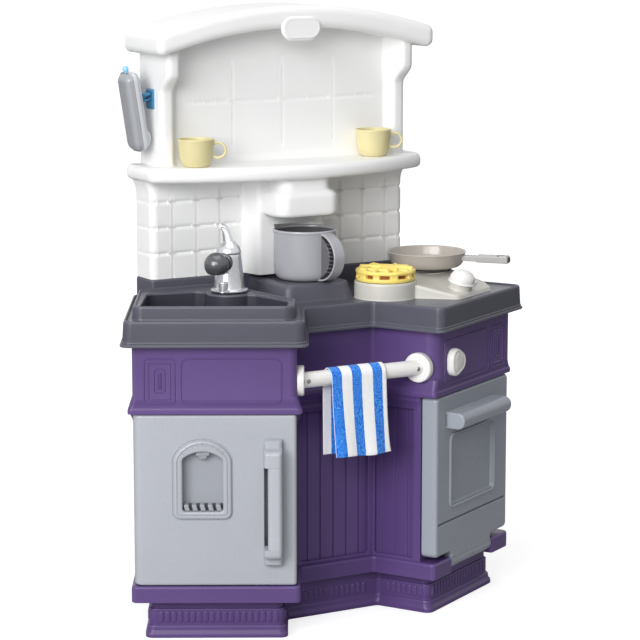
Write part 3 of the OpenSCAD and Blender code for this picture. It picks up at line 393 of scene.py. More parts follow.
def ledge(mesh):
    """The ledge under the doors; the oven door's tongue hangs in a notch of its right front."""
    start, end, deep = LUG_WIDTH, WING_WIDTH - LUG_WIDTH, 27
    notch = [wing(start, -1, 0), wing(start, deep, 0), wing(end, deep, 0), wing(end, -1, 0)]
    shape = plan(1, 5, 8, 0)
    shape[2:2] = [(p.x, p.y) for p in notch]
    relief(mesh, level, shape, [9, 9, 5, 2, 2, 5, 9, 6, 6, 9, 9, 9], (
        (-14, LEDGE_LOW), (-2, LEDGE_LOW), (-0.6, 62.5), (0, 64), (0, 84.4), (-0.4, 86.4), (-1.4, 88),
        (-2.8, 88.8), (-4.2, LEDGE_TOP)))


def cavity(mesh, side, low):
    """Front frame of a wing and the open box behind it."""
    place = front(side, DOOR_DEPTH)
    rim, top, deep = 14, 355, 150
    outer = relief(mesh, place, rect(0, FRAME_LOW, WING_WIDTH, FRAME_TOP), 1, ((0, 0),), cap=False)[0]
    inner = relief(mesh, place, rect(rim, low, WING_WIDTH - rim, top), 12, (
        (3, 0), (1.4, -0.4), (0.3, -1.5), (0, -3), (-2, -deep)))[0]
    bridge(mesh, outer, inner)


def panelled(mesh, place, wall, field, pitch):
    """A plain wall with a sunk field of boards; wall and field say how far along each of them goes."""
    rim = rect(wall[0], FRAME_LOW, wall[1], FRAME_TOP)
    outer = relief(mesh, place, rim, 1, ((0, 0),), cap=False)[0]
    inner = relief(mesh, place, rect(field[0], FIELD_LOW, field[1], FIELD_TOP), 2, (
        (1.5, 0), (0.4, -0.5), (0, -2), (0, -BOARD_DEEP - 0.2)), cap=False)[0]
    bridge(mesh, outer, inner)
    boards(mesh, place, field[0], field[1], pitch)


def boards(mesh, place, start, end, pitch):
    """Upright boards with a round-edged groove between each two."""
    count = int((end - start) / pitch)
    middle = start + ((end - start) - (count - 1) * pitch) / 2
    groove = ((-2.2, 0), (-1.2, 0.5), (-0.5, 2), (0.5, 2), (1.2, 0.5), (2.2, 0))
    across = [(start - 0.5, -BOARD_DEEP)]
    for i in range(count):
        across += [(middle + i * pitch + x, -BOARD_DEEP - deep) for x, deep in groove]
    across.append((end + 0.5, -BOARD_DEEP))
    rings = [[place(x, z, h) for x, h in across] for z in (FIELD_LOW - 1, FIELD_TOP + 1)]
    skin(mesh, rings, closed=False)


def cornice(mesh):
    """Moulding above the doors that goes on round the sides and, fuller, through the recess."""
    behind_door = 0.3 - DOOR_DEPTH
    under = [(behind_door, side, z) for side, z in (
        (-5, 340), (0.6, 340.3), (1.3, 341.6), (1.3, 344), (1.6, 346), (2.6, 350), (4.6, 353.5),
        (5, 354.6), (5, 359), (6.8, 361))]
    over = [(1.5, 7.6, 363), (1.9, 8, 366), (1.5, 7.6, 370), (0.9, 6.8, 371.6), (0.3, 6, 373),
            (0.1, 3.4, 379), (0, 1.2, 386), (-0.4, 0, 390), (-3, -3, 390.4)]
    rings = []
    for face, side, z in under + over:
        frieze = side + 6 * max(0, min(1, (z - 339.5) / 2, (388 - z) / 6))
        rings.append(lift(outline(plan(face, side, frieze, -0.6), [7, 7, 7, 6, 6, 7, 7, 7]), z))
    skin(mesh, rings)


def panel_lines(mesh, side):
    """Raised bead lines on a wing's upper front."""
    place = front(side)
    for x0, z0, x1, z1, r in ((23, 378, 180, 451.5, 12), (187, 379, 237, 451, 7),
                              (194, 386, 230, 444, 1.5), (202.5, 396, 221.5, 435, 5)):
        relief(mesh, place, rect(x0, z0, x1, z1), r, (
            (0, -0.2), (-0.3, 0.7), (-0.9, 1.2), (-1.6, 1.2), (-2.2, 0.7), (-2.5, -0.2)),
            cap=False, arc=6)
    relief(mesh, place, rect(208.5, 402, 215.5, 429), 1.5, (
        (0, -0.2), (-0.4, 0.9), (-1.2, 1.5), (-2, 1.6)))


def cabinet():
    mesh = bmesh.new()
    ledge(mesh)
    recess_end = depth_at(0, RECESS_FACE)
    end = depth_at(WING_WIDTH, BACK_FACE)
    levels = (FRAME_LOW, FRAME_TOP)
    for side, cavity_low in ((-1, 97), (1, 107)):
        cavity(mesh, side, cavity_low)
        panelled(mesh, cheek(side), (DOOR_DEPTH, recess_end + 2), (DOOR_DEPTH + 14, recess_end - 5), 23)
        outside = [[wing(WING_WIDTH, d, z, side) for d in (DOOR_DEPTH, end)] for z in levels]
        skin(mesh, outside, closed=False)
        panel_lines(mesh, side)
    half = wing(0, recess_end, 0).x
    panelled(mesh, facing(RECESS_FACE), (-half, half), (-62, 62), 24)
    back = wing(WING_WIDTH, end, 0).x
    skin(mesh, [[(-back, BACK_FACE, z), (back, BACK_FACE, z)] for z in levels], closed=False)
    cornice(mesh)
    corners = [10, 22, 5, 5, 5, 5, 12, 10]
    rings = [lift(outline(plan(grow, grow, grow, -1.2), corners, 0, 7), z) for grow, z in (
        (-3, 371), (0, 371.5), (0, 474), (0, BODY_TOP))]
    skin(mesh, rings)
    settle("cabinet_body", mesh, purple, "frame", ["cabinet"])


cabinet()


# Countertop: one dark rotomoulded piece that drops over the cabinet like a lid, about 4 mm thick.
# It carries the raised sink, the stand of the coffee maker and the upstand under the wall.

DECK = 508.5
SINK_RIM = 530
STAND_HALF, STAND_OUT, STAND_TOP = 58, 126, 537
UPSTAND_TOP = 542
WALL_FACE = BACK_FACE - 58
WALL_HALF = 236
BASIN_FLOOR = 448
TAP_AT = Vector((108, 166.5))
TAP_FLANGE = 30

counter_dark = moulded("counter_polyethylene", paint(82, 82, 93), rough=0.32, grain=0.14, cloud=0.06,
                       edge_highlight=1, shine=0.3)
# The basin's inside is the counter's plastic painted darker: painted shade in the hollow.
basin_painted_shade = moulded("basin_polyethylene_painted_shade", paint(60, 60, 70), rough=0.36, grain=0.14, cloud=0.06,
                       edge_highlight=0.6, shine=0.2)


def fill(mesh, *rows):
    """Flat face between an outer row of points and the holes in it."""
    edges = []
    for row in rows:
        for a, b in zip(row, row[1:] + row[:1]):
            edges.append(mesh.edges.get((a, b)) or mesh.edges.new((a, b)))
    bmesh.ops.triangle_fill(mesh, use_beauty=True, edges=edges)


def above(side=1):
    """Lets a shape be drawn on a wing from above: x outwards, y into the depth, h up."""
    return lambda x, y, h: wing(x, y, h, side)


def basin_ring(grow, z):
    """Outline of the basin, which swings round the foot of the tap in a soft curve."""
    corners = [(16, 15), (242, 15), (238, 146), (162, 171), (63, 137), (13, 77)]
    blend_over = 5
    ring = []
    for p in outline(corners, [16, 18, 18, 10, 12, 16], grow, 6, fine=5):
        away = p - TAP_AT
        keep_off = TAP_FLANGE + 8 - grow
        near = max(0, keep_off + blend_over - away.length) / (2 * blend_over)
        far = max(away.length, keep_off) + blend_over / 2 * min(1, near) * max(0, 1 - near)
        p = TAP_AT + away.normalized() * far
        ring.append(wing(p.x, p.y, z, -1))
    return ring


def sink_block(mesh):
    """Raised block with a round bead as its rim, and the basin in it, whose inside is painted darker as
    shade.
    """
    behind = WALL_FACE - 2
    corners = [(3, 8), (WING_WIDTH, 8), (WING_WIDTH, depth_at(WING_WIDTH, behind)),
               (128, depth_at(128, behind)), (0, 80)]
    top = relief(mesh, above(-1), corners, [19, 17, 8, 8, 18], (
        (1.4, 507.5), (0.6, 509.2), (0.1, 512), (-0.9, 526), (-1.4, 528.4), (-2.6, 529.8), (-4, 530.2),
        (-5.2, 529.6), (-6, 528.4), (-6.6, 527.8)), cap=False, arc=7)[-1]
    lip = skin(mesh, [basin_ring(grow, z) for grow, z in ((1, 527.8), (0.2, 527.2), (-0.6, 525))])
    fill(mesh, top, lip[0])
    # The inside of the basin is a piece of its own, painted darker as shade.
    well = bmesh.new()
    rings = [basin_ring(grow, z) for grow, z in (
        (-0.6, 525), (-1.4, 500), (-2.2, 470), (-4, 458), (-8, 451), (-13, 448.6), (-18, BASIN_FLOOR))]
    skin(well, rings, cap_last=True)
    settle("sink_basin", well, basin_painted_shade, "frame", (), smooth=32)


def stand(mesh):
    """Stand of the coffee maker, with round shoulders."""
    shape = rect(-STAND_HALF, WALL_FACE - STAND_OUT, STAND_HALF, WALL_FACE + 20)
    relief(mesh, level, shape, [12, 12, 4, 4], (
        (13, 507.5), (10.4, 509), (8.6, 512), (2.4, 530), (0.8, 533.6), (-1.6, 536), (-4.6, STAND_TOP),
        (-9, STAND_TOP)))


def countertop():
    mesh = bmesh.new()
    corners = [10, 13, 9, 8, 8, 15, 15, 10]
    rings = []
    for face, side, z in (
            (2, 2, 478), (15, 12, 471.5), (16.6, 15.7, 470.2), (18.2, 17.3, 470.2), (18.9, 18, 471.4),
            (18.9, 18, 473.4), (18.2, 17.2, 474.6), (17.3, 15.6, 475.2), (17.2, 15.2, 476.2),
            (17.7, 15.4, 477), (17.5, 15, 478.2), (16.9, 14, 479), (16.2, 12.6, 500),
            (15.9, 12.2, 507), (15.4, 11.6, 509.4), (14.4, 10.5, 510.8), (13.2, 9.3, 511),
            (12.1, 8.1, 510.3), (11.5, 7.5, 508.8), (11, 7, 507.6), (10, 6, 507.5),
            (9.2, 5.2, 508.2), (8.4, 4.4, DECK)):
        rings.append(lift(outline(plan(face, side, side, min(0, side - 10)), corners, 0, 7), z))
    deck = skin(mesh, rings)[-1]
    hole = [mesh.verts.new((p.x, p.y, DECK)) for p in basin_ring(4, DECK)]
    fill(mesh, deck, hole)
    sink_block(mesh)
    stand(mesh)
    upstand = rect(-WALL_HALF - 1, WALL_FACE - 3, WALL_HALF + 1, BACK_FACE)
    relief(mesh, level, upstand, 5, (
        (1.5, 507.5), (0.4, 509), (0, 512), (0, 538.6), (-0.6, 540.8), (-2, 541.8), (-3.4, UPSTAND_TOP)))
    settle("counter_lid", mesh, counter_dark, "frame", ["countertop"], smooth=32)


countertop()


# Drain: a plated ring pressed into the floor of the basin.
# It has a low round rim and six round holes in its cup.

silver = moulded("plated_silver", paint(206, 208, 212), rough=0.24, grain=0.03, cloud=0.03, shine=0.8)
silver.node_tree.nodes["Principled BSDF"].inputs["Metallic"].default_value = 0.75


def turned(mesh, at, profile, count=48, axis=Vector((0, 0, 1)), close=(False, False)):
    """A surface of revolution: profile gives (radius, height along the axis) from the bottom up."""
    side = axis.orthogonal().normalized()
    other = axis.cross(side)
    rings = []
    for r, h in profile:
        rings.append([at + axis * h + (side * cos(2 * pi * k / count)
                                       + other * sin(2 * pi * k / count)) * r
                      for k in range(count)])
    return skin(mesh, rings, cap_first=close[0], cap_last=close[1])


def drain():
    mesh = bmesh.new()
    at = wing(128, 76, BASIN_FLOOR, -1)
    rows = turned(mesh, at, (
        (18.5, -0.5), (18.9, 0.6), (18.6, 1.7), (17.6, 2.4), (16.2, 2.4), (15.2, 1.6), (14.6, 0.4)))
    count, circle_r = 6, 8
    holes = []
    for i in range(count):
        a = i * 2 * pi / count
        middle = at + Vector((cos(a) * circle_r, sin(a) * circle_r, 0))
        hole = turned(mesh, middle, ((2.6, 0.4), (2.3, -0.2), (2.3, -3)), 16, close=(False, True))
        holes.append(hole[0])
    fill(mesh, rows[-1], *holes)
    settle("drain_ring", mesh, silver, "frame", ["sink_drain"])


drain()


# Lower wall: white rotomoulded plastic with four rows of pillow-shaped tiles beside the pilaster.
# The tile joints run on round the ends of the wall.

SHELF_LOW, SHELF_TOP = 702, 726
HEAD_LOW = 640
PILASTER_OUT, PILASTER_HALF = 38, 70
POT_OUT = 74
POT_AT = Vector((4.5, WALL_FACE - POT_OUT, STAND_TOP + 0.3))
NICHE_R, NICHE_HIGH = 52, 624
TILE_WIDE, TILE_HIGH, JOINT_HALF = 43, 41.5, 6

white = moulded("white_polyethylene", paint(244, 244, 243), rough=0.38, grain=0.06, cloud=0.012,
                patch=9, edge_highlight=0, bleed=0.12)


def joint(t, lines, half, depth):
    """How deep a rounded joint is at t, where a joint lies on each of the lines."""
    near = min(abs(t - line) for line in lines)
    return depth * max(0, 1 - near / half) ** 1.6


def stops(low, high, lines, half):
    """Places along an edge: close together over the joints."""
    out = {low, high}
    for line in lines:
        for part in (-1, -0.7, -0.45, -0.22, 0, 0.22, 0.45, 0.7, 1):
            if low < line + part * half < high:
                out.add(line + part * half)
    return sorted(out)


def wall_loft(mesh, plan_at, heights, sink):
    """A wall with a given plan at each height; sink says how far a point lies behind its face."""
    rings = []
    for z in heights:
        points = plan_at(z)
        ring = []
        for i, p in enumerate(points):
            before, after = points[i - 1], points[(i + 1) % len(points)]
            run = (after - before).normalized()
            inward = Vector((-run.y, run.x))
            q = p + inward * sink(p, z)
            ring.append((q.x, q.y, z))
        rings.append(ring)
    skin(mesh, rings)


def lower_wall():
    mesh = bmesh.new()
    rows = [UPSTAND_TOP + TILE_HIGH * i for i in (1, 2, 3)]
    columns = [27.5 + TILE_WIDE * i for i in (2, 3, 4)]
    row_deep, column_deep = 2.4, 1.7
    tiled = stops(PILASTER_HALF + 10, WALL_HALF - 12, columns, JOINT_HALF)
    pilaster = WALL_FACE - PILASTER_OUT
    set_back = POT_OUT - PILASTER_OUT
    edge = sqrt(NICHE_R ** 2 - set_back ** 2)
    curve = [POT_AT.x + edge * sin(pi / 2 * i / 9) for i in range(-9, 10)]

    def sink(p, z):
        if p.y > BACK_FACE - 8 or abs(p.x) < PILASTER_HALF + 4:
            return 0
        across = joint(z, rows, JOINT_HALF, row_deep)
        if abs(p.x) > WALL_HALF - 6:
            return across
        fade = min(1, max(0, (SHELF_LOW - 10 - z) / 26))
        return max(across, joint(abs(p.x), columns, JOINT_HALF, column_deep) * fade)

    def niche(x, z):
        """How far the round niche for the pot goes into the front of the pilaster."""
        reach = NICHE_R * NICHE_R - (x - POT_AT.x) ** 2
        return max(0, sqrt(reach) - set_back) if z < NICHE_HIGH and reach > 0 else 0

    def plan_at(z):
        """Plan at a height; the wall flares out just under the shelf."""
        flare = 14 * max(0, (z - 676) / 26) ** 2
        face = WALL_FACE - 3 * max(0, (z - 690) / 12) ** 2
        half = WALL_HALF + min(9, flare * 0.6)
        points = [(-half, BACK_FACE), (-half, face)]
        points += [(-x, face) for x in reversed(tiled)]
        points += [(-PILASTER_HALF, face), (8 - PILASTER_HALF, pilaster)]
        points += [(x, pilaster + niche(x, z)) for x in curve]
        points += [(PILASTER_HALF - 8, pilaster), (PILASTER_HALF, face)]
        points += [(x, face) for x in tiled]
        points += [(half, face), (half, BACK_FACE)]
        flat, hollow = [0] * len(tiled), [0] * len(curve)
        return outline(points, [6, 11] + flat + [7, 9] + hollow + [9, 7] + flat + [11, 6], 0, 4)

    heights = stops(UPSTAND_TOP + 0.5, SHELF_LOW + 1, rows, JOINT_HALF)
    heights += [NICHE_HIGH - 0.3, NICHE_HIGH, HEAD_LOW, 666, 672, 678, 684, 690, 694, 698, 700.5]
    wall_loft(mesh, plan_at, sorted(set(heights)), sink)
    settle("tiled_wall", mesh, white, "frame", ["lower_wall"], smooth=50)


lower_wall()


# Brew head: the hollow white block over the pot, with a round socket in its underside.
# It is moulded in one with the wall behind it, with walls of about 3 mm.

def brew_head():
    mesh = bmesh.new()
    rings = []
    for half, out, z in (
            (20, 70, 648), (22, 73, 647.5), (23, 74, 640.6), (24.5, 75.5, HEAD_LOW), (46, 94, HEAD_LOW),
            (51, 98, 641), (54.5, 100.8, 643.5), (56, 102, 648), (56, 102, 671), (54.8, 101, 676.5),
            (52, 98.6, 680), (48.6, 95.2, 682.4), (46.6, 93, 686), (46, 92, 690), (46, 92, 700),
            (48, 94, SHELF_LOW + 1)):
        shape = rect(-half, WALL_FACE - out, half, WALL_FACE - PILASTER_OUT + 2)
        rings.append(lift(outline(shape, [min(20, half * 0.6)] * 2 + [1, 1], 0, 7), z))
    skin(mesh, rings, cap_first=True)
    settle("brew_head", mesh, white, "frame", ["coffee_head"], smooth=50)


brew_head()


# Shelf: a white slab with a bowed front and a full round nose.
# It lies on top of the lower wall and carries the cups.

SHELF_HALF = 253
SHELF_OUT, SHELF_BOW = 108, 73


def shelf():
    mesh = bmesh.new()
    r = (SHELF_HALF ** 2 + SHELF_BOW ** 2) / (2 * SHELF_BOW)
    count = 28
    bow = []
    for i in range(count + 1):
        x = SHELF_HALF * (2 * i / count - 1)
        bow.append((x, WALL_FACE - SHELF_OUT + r - sqrt(r * r - x * x)))
    shape = bow + [(SHELF_HALF, BACK_FACE), (-SHELF_HALF, BACK_FACE)]
    relief(mesh, level, shape, [24] + [0] * (count - 1) + [24, 6, 6], (
        (-30, SHELF_LOW), (-9, SHELF_LOW), (-5.6, 702.5), (-3, 703.9), (-1.2, 706.2), (-0.2, 709.4),
        (0, 713), (-0.1, 716.4), (-0.9, 719.8), (-2.4, 722.8), (-4.8, 725), (-8, SHELF_TOP),
        (-30, SHELF_TOP)), first=True)
    settle("bow_shelf", mesh, white, "frame", ["shelf"], smooth=50)


shelf()


# Upper wall: white, with large shallow tiles between two columns.
# The columns swell into corbels under the cap, which this wall carries.

UPPER_HALF = 227
CAP_LOW = 902
CAP_HALF, CAP_FRONT, CAP_THICK, ARCH_RISE = 253.5, 70, 36, 40
CAP_TOP = CAP_LOW + CAP_THICK + ARCH_RISE
ARCH_R = (CAP_HALF ** 2 + ARCH_RISE ** 2) / (2 * ARCH_RISE)


def arch(x, r=ARCH_R - CAP_THICK):
    """Height of the underside of the cap at x, or of its top with the outer radius."""
    return CAP_TOP - ARCH_R + sqrt(r * r - x * x)


def upper_wall():
    mesh = bmesh.new()
    lines = [-92, 0, 95]
    joint_z = SHELF_TOP + 98
    half, deep = 7, 1.5
    panel, column, side = 194, 206, UPPER_HALF
    fades = {-172, -160, -140, -120, 50, 140, 160, 172}
    row = sorted(set(stops(-184, 184, lines, half)) | fades)
    behind = [20 * i for i in range(-11, 12)]

    def sink(p, z):
        if p.y > WALL_FACE - 2 or abs(p.x) > 186:
            return 0
        upright = min(1, max(0, (z - 742) / 16), max(0, (896 - z) / 22))
        across = min(1, max(0, (180 - abs(p.x)) / 14))
        return max(joint(p.x, lines, half, deep) * upright, joint(z, [joint_z], half, deep) * across)

    def plan_at(z):
        """Plan at a height; the columns come forward as corbels under the cap."""
        t = min(1, max(0, (z - 842) / 32))
        corbel = WALL_FACE - (20 + 27 * t * t * (3 - 2 * t))
        face = WALL_FACE - 4 - 9 * max(0, 1 - (z - SHELF_TOP) / 12) ** 2
        points = [(x, BACK_FACE) for x in reversed(behind)]
        points += [(-side, BACK_FACE), (-side, corbel), (-column, corbel), (-panel, face)]
        points += [(x, face) for x in row]
        points += [(panel, face), (column, corbel), (side, corbel), (side, BACK_FACE)]
        radius = [0] * len(behind) + [5, 9, 8, 6] + [0] * len(row) + [6, 8, 9, 5]
        return outline(points, radius, 0, 4)

    spring = CAP_LOW - 4
    heights = stops(SHELF_TOP - 1, spring, [joint_z], half)
    heights += [730, 734, 738, 744, 750, 758, 842, 846, 851, 856, 862, 868, 874, 882, 890, 896]
    wall_loft(mesh, plan_at, sorted(set(heights)), sink)
    top = plan_at(spring)
    skin(mesh, [lift(top, spring), [(p.x, p.y, max(spring, arch(p.x) + 1)) for p in top]])
    settle("upper_wall_moulding", mesh, white, "frame", ["upper_wall"], smooth=50)


upper_wall()


# Arched cap: a hollow white moulding over the whole width, all its edges rounded.
# It is the top of the upper wall and curves up towards its middle.

def arch_cap():
    mesh = bmesh.new()
    count = 30
    xs = [CAP_HALF * (2 * i / count - 1) for i in range(count + 1)]
    shape = [(x, arch(x)) for x in xs] + [(x, arch(x, ARCH_R)) for x in reversed(xs)]
    radius = [12] + [0] * (count - 1) + [12, 12] + [0] * (count - 1) + [12]
    face = WALL_FACE - CAP_FRONT
    relief(mesh, lambda x, z, y: (x, y, z), shape, radius, (
        (-12, face), (-8, face + 0.5), (-4.4, face + 2), (-1.8, face + 4.6), (-0.5, face + 8),
        (0, face + 12), (0, BACK_FACE - 5), (-1.6, BACK_FACE - 1.4), (-5, BACK_FACE)), arc=4, first=True)
    settle("cap_moulding", mesh, white, "frame", ["arch_cap"], smooth=50)


arch_cap()


# Plaque: a bare white oval, moulded proud of the front of the cap.
# A round bead runs along its edge.

def plaque():
    mesh = bmesh.new()
    middle = CAP_LOW + ARCH_RISE
    half_wide, half_high = 34, 17
    shape = rect(-half_wide, middle - half_high, half_wide, middle + half_high)
    relief(mesh, facing(WALL_FACE - CAP_FRONT), shape, half_high - 0.1, (
        (3, -0.3), (1.6, 0), (0.7, 0.5), (0.2, 1.4), (-0.2, 2.3), (-1.2, 2.9), (-3, 3), (-4, 2.7),
        (-5, 2.6)), arc=8)
    settle("oval_plaque", mesh, white, "frame", ["plaque"], smooth=50)


plaque()


# Fridge door: a blow moulded grey shell with round edges and a dispenser niche let into its front.
# The loop handle is moulded on: two pads with a bar between them, open behind.

FRIDGE_LOW, FRIDGE_TOP = 90.2, 361.8
DOOR_THICK = 28
HANDLE_LEFT, HANDLE_LOW, HANDLE_TOP = 23, 124.4, 324.4
NICHE_AT, NICHE_HALF, NICHE_LOW, NICHE_TOP = 146.5, 31.5, 209.2, 304.5

door_grey = moulded("silver_grey_plastic", paint(172, 175, 182), rough=0.28, grain=0.05, cloud=0.03,
                    patch=5, shine=0.5)


def arched(half, low, top, rise):
    """Upright opening of the dispenser, with a low arch over it."""
    count = 10
    r = (half * half + rise * rise) / (2 * rise)
    spring = top - rise
    arc = []
    for i in range(1, count):
        x = half * (1 - 2 * i / count)
        arc.append((NICHE_AT + x, spring + sqrt(r * r - x * x) - (r - rise)))
    left, right = NICHE_AT - half, NICHE_AT + half
    return [(left, low), (right, low), (right, spring)] + arc + [(left, spring)]


def arch_corners(low, high):
    """Corner radii of an arched opening: its two feet, then the ends of its arch."""
    return [low, low, high] + [0] * 9 + [high]


def fridge_door():
    mesh = bmesh.new()
    section = rect(1, 0, WING_WIDTH, DOOR_THICK)
    rings = []
    for grow, z in ((-5, FRIDGE_LOW), (-2.2, 90.7), (-0.6, 92.2), (0, 94.6), (0, 357.4), (-0.6, 359.8),
                    (-2.2, 361.3), (-5, FRIDGE_TOP)):
        rings.append([wing(p.x, p.y, z, -1) for p in outline(section, [5.5, 13.9, 13.9, 5.5], grow, 6)])
    flat, left = 3, 6
    rows = skin(mesh, rings, cap_first=True, cap_last=True, skip=(flat, left))
    low, high = rows[flat], rows[flat + 1]
    face = [low[left], low[left + 1], high[left + 1], high[left]]
    surround = relief(mesh, front(-1), arched(45, 197.2, 322.2, 28), arch_corners(11, 22), (
        (2.6, 0), (2, -0.7), (1.2, -1.3), (0.5, -0.9), (0, 0.6), (-0.5, 2.2), (-1.6, 3.4), (-3, 4),
        (-4.6, 4), (-5.3, 3.4), (-5.8, 2.6), (-6.4, 2.6), (-6.9, 3.4), (-7.6, 4), (-8.8, 4)), cap=False)
    opening = arched(NICHE_HALF, NICHE_LOW, NICHE_TOP, 12)
    niche = relief(mesh, front(-1), opening, arch_corners(5, 6), (
        (2.4, 4), (1.2, 3.6), (0.4, 2.8), (0, 1.4), (-0.6, -16), (-2, -17.4), (-5, -17.6)))
    fill(mesh, surround[-1], niche[0])
    seat = rect(HANDLE_LEFT, HANDLE_LOW, HANDLE_LEFT + 28.5, HANDLE_TOP)
    pad = relief(mesh, front(-1), seat, 9, ((1.6, 0), (0.9, -0.4), (0.3, 0.2), (0, 2.4)), cap=False)
    fill(mesh, face, surround[0], pad[0])
    settle("fridge_door_shell", mesh, door_grey, "fridge_door", ["fridge_door"])


def fridge_handle():
    """Two pads with a slimmer bar between them that stands off the door."""
    mesh = bmesh.new()
    slot_low, slot_top, height = 154, 284, 30
    pad_wide, bar_wide, bar_back = 28.4, 22.4, 17.5
    ends = ((0, -2, 8), (0.9, -0.7, 11.4), (3, 0, 13.6), (12, 0, 14.6), (13.4, 0, 17), (14.6, 0, 24),
            (17, 0, 28.2), (21, 0, height))
    rows = [(HANDLE_LOW + up, grow, high) for up, grow, high in ends]
    rows += [(z, 0, height) for z in (slot_low - 0.2, slot_low, slot_top, slot_top + 0.2)]
    rows += [(HANDLE_TOP - up, grow, high) for up, grow, high in reversed(ends)]
    sections = []
    for z, grow, high in rows:
        bar = slot_low - 0.1 < z < slot_top + 0.1
        right = HANDLE_LEFT + (bar_wide if bar else pad_wide) + grow
        section = rect(HANDLE_LEFT - grow, bar_back if bar else -1, right, high)
        sections.append([wing(p.x, -p.y, z, -1) for p in outline(section, [1, 1, 7, 7], 0, 5)])
    for start, end in ((0, 8), (9, 10), (11, 19)):
        skin(mesh, sections[start:end + 1], cap_first=True, cap_last=True)
    settle("fridge_handle", mesh, door_grey, "fridge_door", ())


fridge_door()
fridge_handle()


# Dispenser: an insert clipped into the niche of the fridge door.
# It has a nozzle at the top and a toothed drip tray at the foot.

dispenser_grey = moulded("dispenser_plastic", paint(156, 159, 166), rough=0.34, grain=0.05)
# A near black for the shade behind the teeth of the tray: painted shadow.
tray_painted_shadow = moulded("dispenser_shadow", paint(46, 48, 54), rough=0.55, grain=0.08)


def dispenser():
    place = front(-1)
    mesh = bmesh.new()
    back = arched(NICHE_HALF - 0.8, NICHE_LOW + 1, NICHE_TOP - 1, 12)
    relief(mesh, place, back, arch_corners(4, 5), ((0, -17.3), (-0.4, -16.6), (-1.4, -16.2)))
    relief(mesh, place, rect(NICHE_AT - 10.4, 297, NICHE_AT + 10.4, 304), 1.2, (
        (0, -16.5), (0, -2.6), (-0.5, -1.8), (-1.4, -1.6)))
    nozzle = [(NICHE_AT - 5, 292), (NICHE_AT + 5, 292), (NICHE_AT + 7.4, 297.6), (NICHE_AT - 7.4, 297.6)]
    relief(mesh, place, nozzle, 0.9, ((0, -16.5), (0, -4), (-0.5, -3.2), (-1.2, -3)))
    for i in range(5):
        x = NICHE_AT + (i - 2) * 12.4
        foot, head = NICHE_LOW + 0.5, NICHE_LOW + 10.4
        tooth = [(x - 5, foot), (x + 2.6, foot), (x + 5.6, head), (x - 2, head)]
        relief(mesh, place, tooth, [0.6, 0.6, 1.6, 1.6], ((0, -15), (0, -1.2), (-0.4, -0.4), (-1.1, 0)))
    settle("dispenser_insert", mesh, dispenser_grey, "fridge_door", ["dispenser"])
    # Painted shadow: a dark block behind the teeth of the drip tray gives the shade in the gaps between
    # them.
    mesh = bmesh.new()
    half = NICHE_HALF - 1.2
    relief(mesh, place, rect(NICHE_AT - half, NICHE_LOW + 0.6, NICHE_AT + half, NICHE_LOW + 9.6), 1, (
        (0, -16), (0, -6.4), (-0.4, -6)))
    settle("dispenser_tray_painted_shadow", mesh, tray_painted_shadow, "fridge_door", ())


dispenser()


# Oven door: a blow moulded shell that tips down on the tongue along its foot; its grey is the fridge
# door's, painted a little darker as shade.
# It has a bar handle, a sunk window field in a double frame and a joint line for the drawer.

OVEN_LOW, OVEN_TOP = 97, 361.8
OVEN_AXIS_Z = 81
DRAWER_LINE = 151
RAIL_Z, RAIL_R, RAIL_OUT = 320.8, 13.5, 34

# Painted shade: the fridge door's grey made a little darker, for the oven door and its handle.
oven_grey_painted_shade = moulded("oven_door_plastic", paint(158, 163, 172), rough=0.28, grain=0.05, cloud=0.03,
                    patch=5, shine=0.35)


def toward(u, d, z, side=1):
    """A direction that is given in a wing's own frame."""
    return (wing(u, d, z, side) - wing(0, 0, 0, side)).normalized()


def oven_door():
    mesh = bmesh.new()
    low, high = LUG_WIDTH + 1.2, WING_WIDTH - LUG_WIDTH - 1.2
    left, right = 1, WING_WIDTH - 1
    shape = [(left, OVEN_LOW), (low, OVEN_LOW), (low, OVEN_AXIS_Z), (high, OVEN_AXIS_Z),
             (high, OVEN_LOW), (right, OVEN_LOW), (right, OVEN_TOP), (left, OVEN_TOP)]
    rows = relief(mesh, front(), shape, [9, 7, 1, 1, 7, 9, 9, 9], (
        (-6, 0), (-3.6, -0.5), (-1.8, -1.8), (-0.5, -3.9), (0, -6.6), (0, -24), (-0.9, -26.8),
        (-3, -DOOR_THICK)))
    window = relief(mesh, front(), rect(44, 171, 204, 296), 13, (
        (0.6, 0), (0, 0.4), (-0.9, 2.2), (-2.2, 3), (-3.8, 2.8), (-4.9, 1.6), (-5.4, 0),
        (-6.2, 0.8), (-7, 0.8), (-7.8, -1), (-8.8, -3.4), (-10.5, -4)))
    line = relief(mesh, front(), rect(8.8, DRAWER_LINE - 2, 245.6, DRAWER_LINE + 2), 1.8, (
        (0.9, 0), (0.1, -0.4), (-0.3, -1.2), (-0.5, -4.6)))
    fill(mesh, rows[0], window[0], line[0])
    long = high - low
    turned(mesh, wing(low, DOOR_THICK / 2, OVEN_AXIS_Z), (
        (12.6, 0), (13.6, 0.4), (14, 1.6), (14, long - 1.6), (13.6, long - 0.4), (12.6, long)),
        40, toward(1, 0, 0), (True, True))
    settle("oven_door_shell", mesh, oven_grey_painted_shade, "oven_door", ["oven_door"])


def oven_handle():
    """A bar with a round front and two round ends, moulded onto the door."""
    mesh = bmesh.new()
    section = rect(-1, RAIL_Z - RAIL_R, RAIL_OUT, RAIL_Z + RAIL_R)

    def place(out, z, x):
        return wing(x, -max(out, -1), max(z, RAIL_Z - RAIL_R))

    relief(mesh, place, section, [1, 13, 13, 1], (
        (-3.4, 31.4), (-1.8, 31.5), (-0.7, 32), (0, 33.4), (0, 196), (-0.8, 199), (-2.6, 201.2),
        (-6, 202.6)), arc=8, first=True)
    settle("oven_handle", mesh, oven_grey_painted_shade, "oven_door", ())


oven_door()
oven_handle()


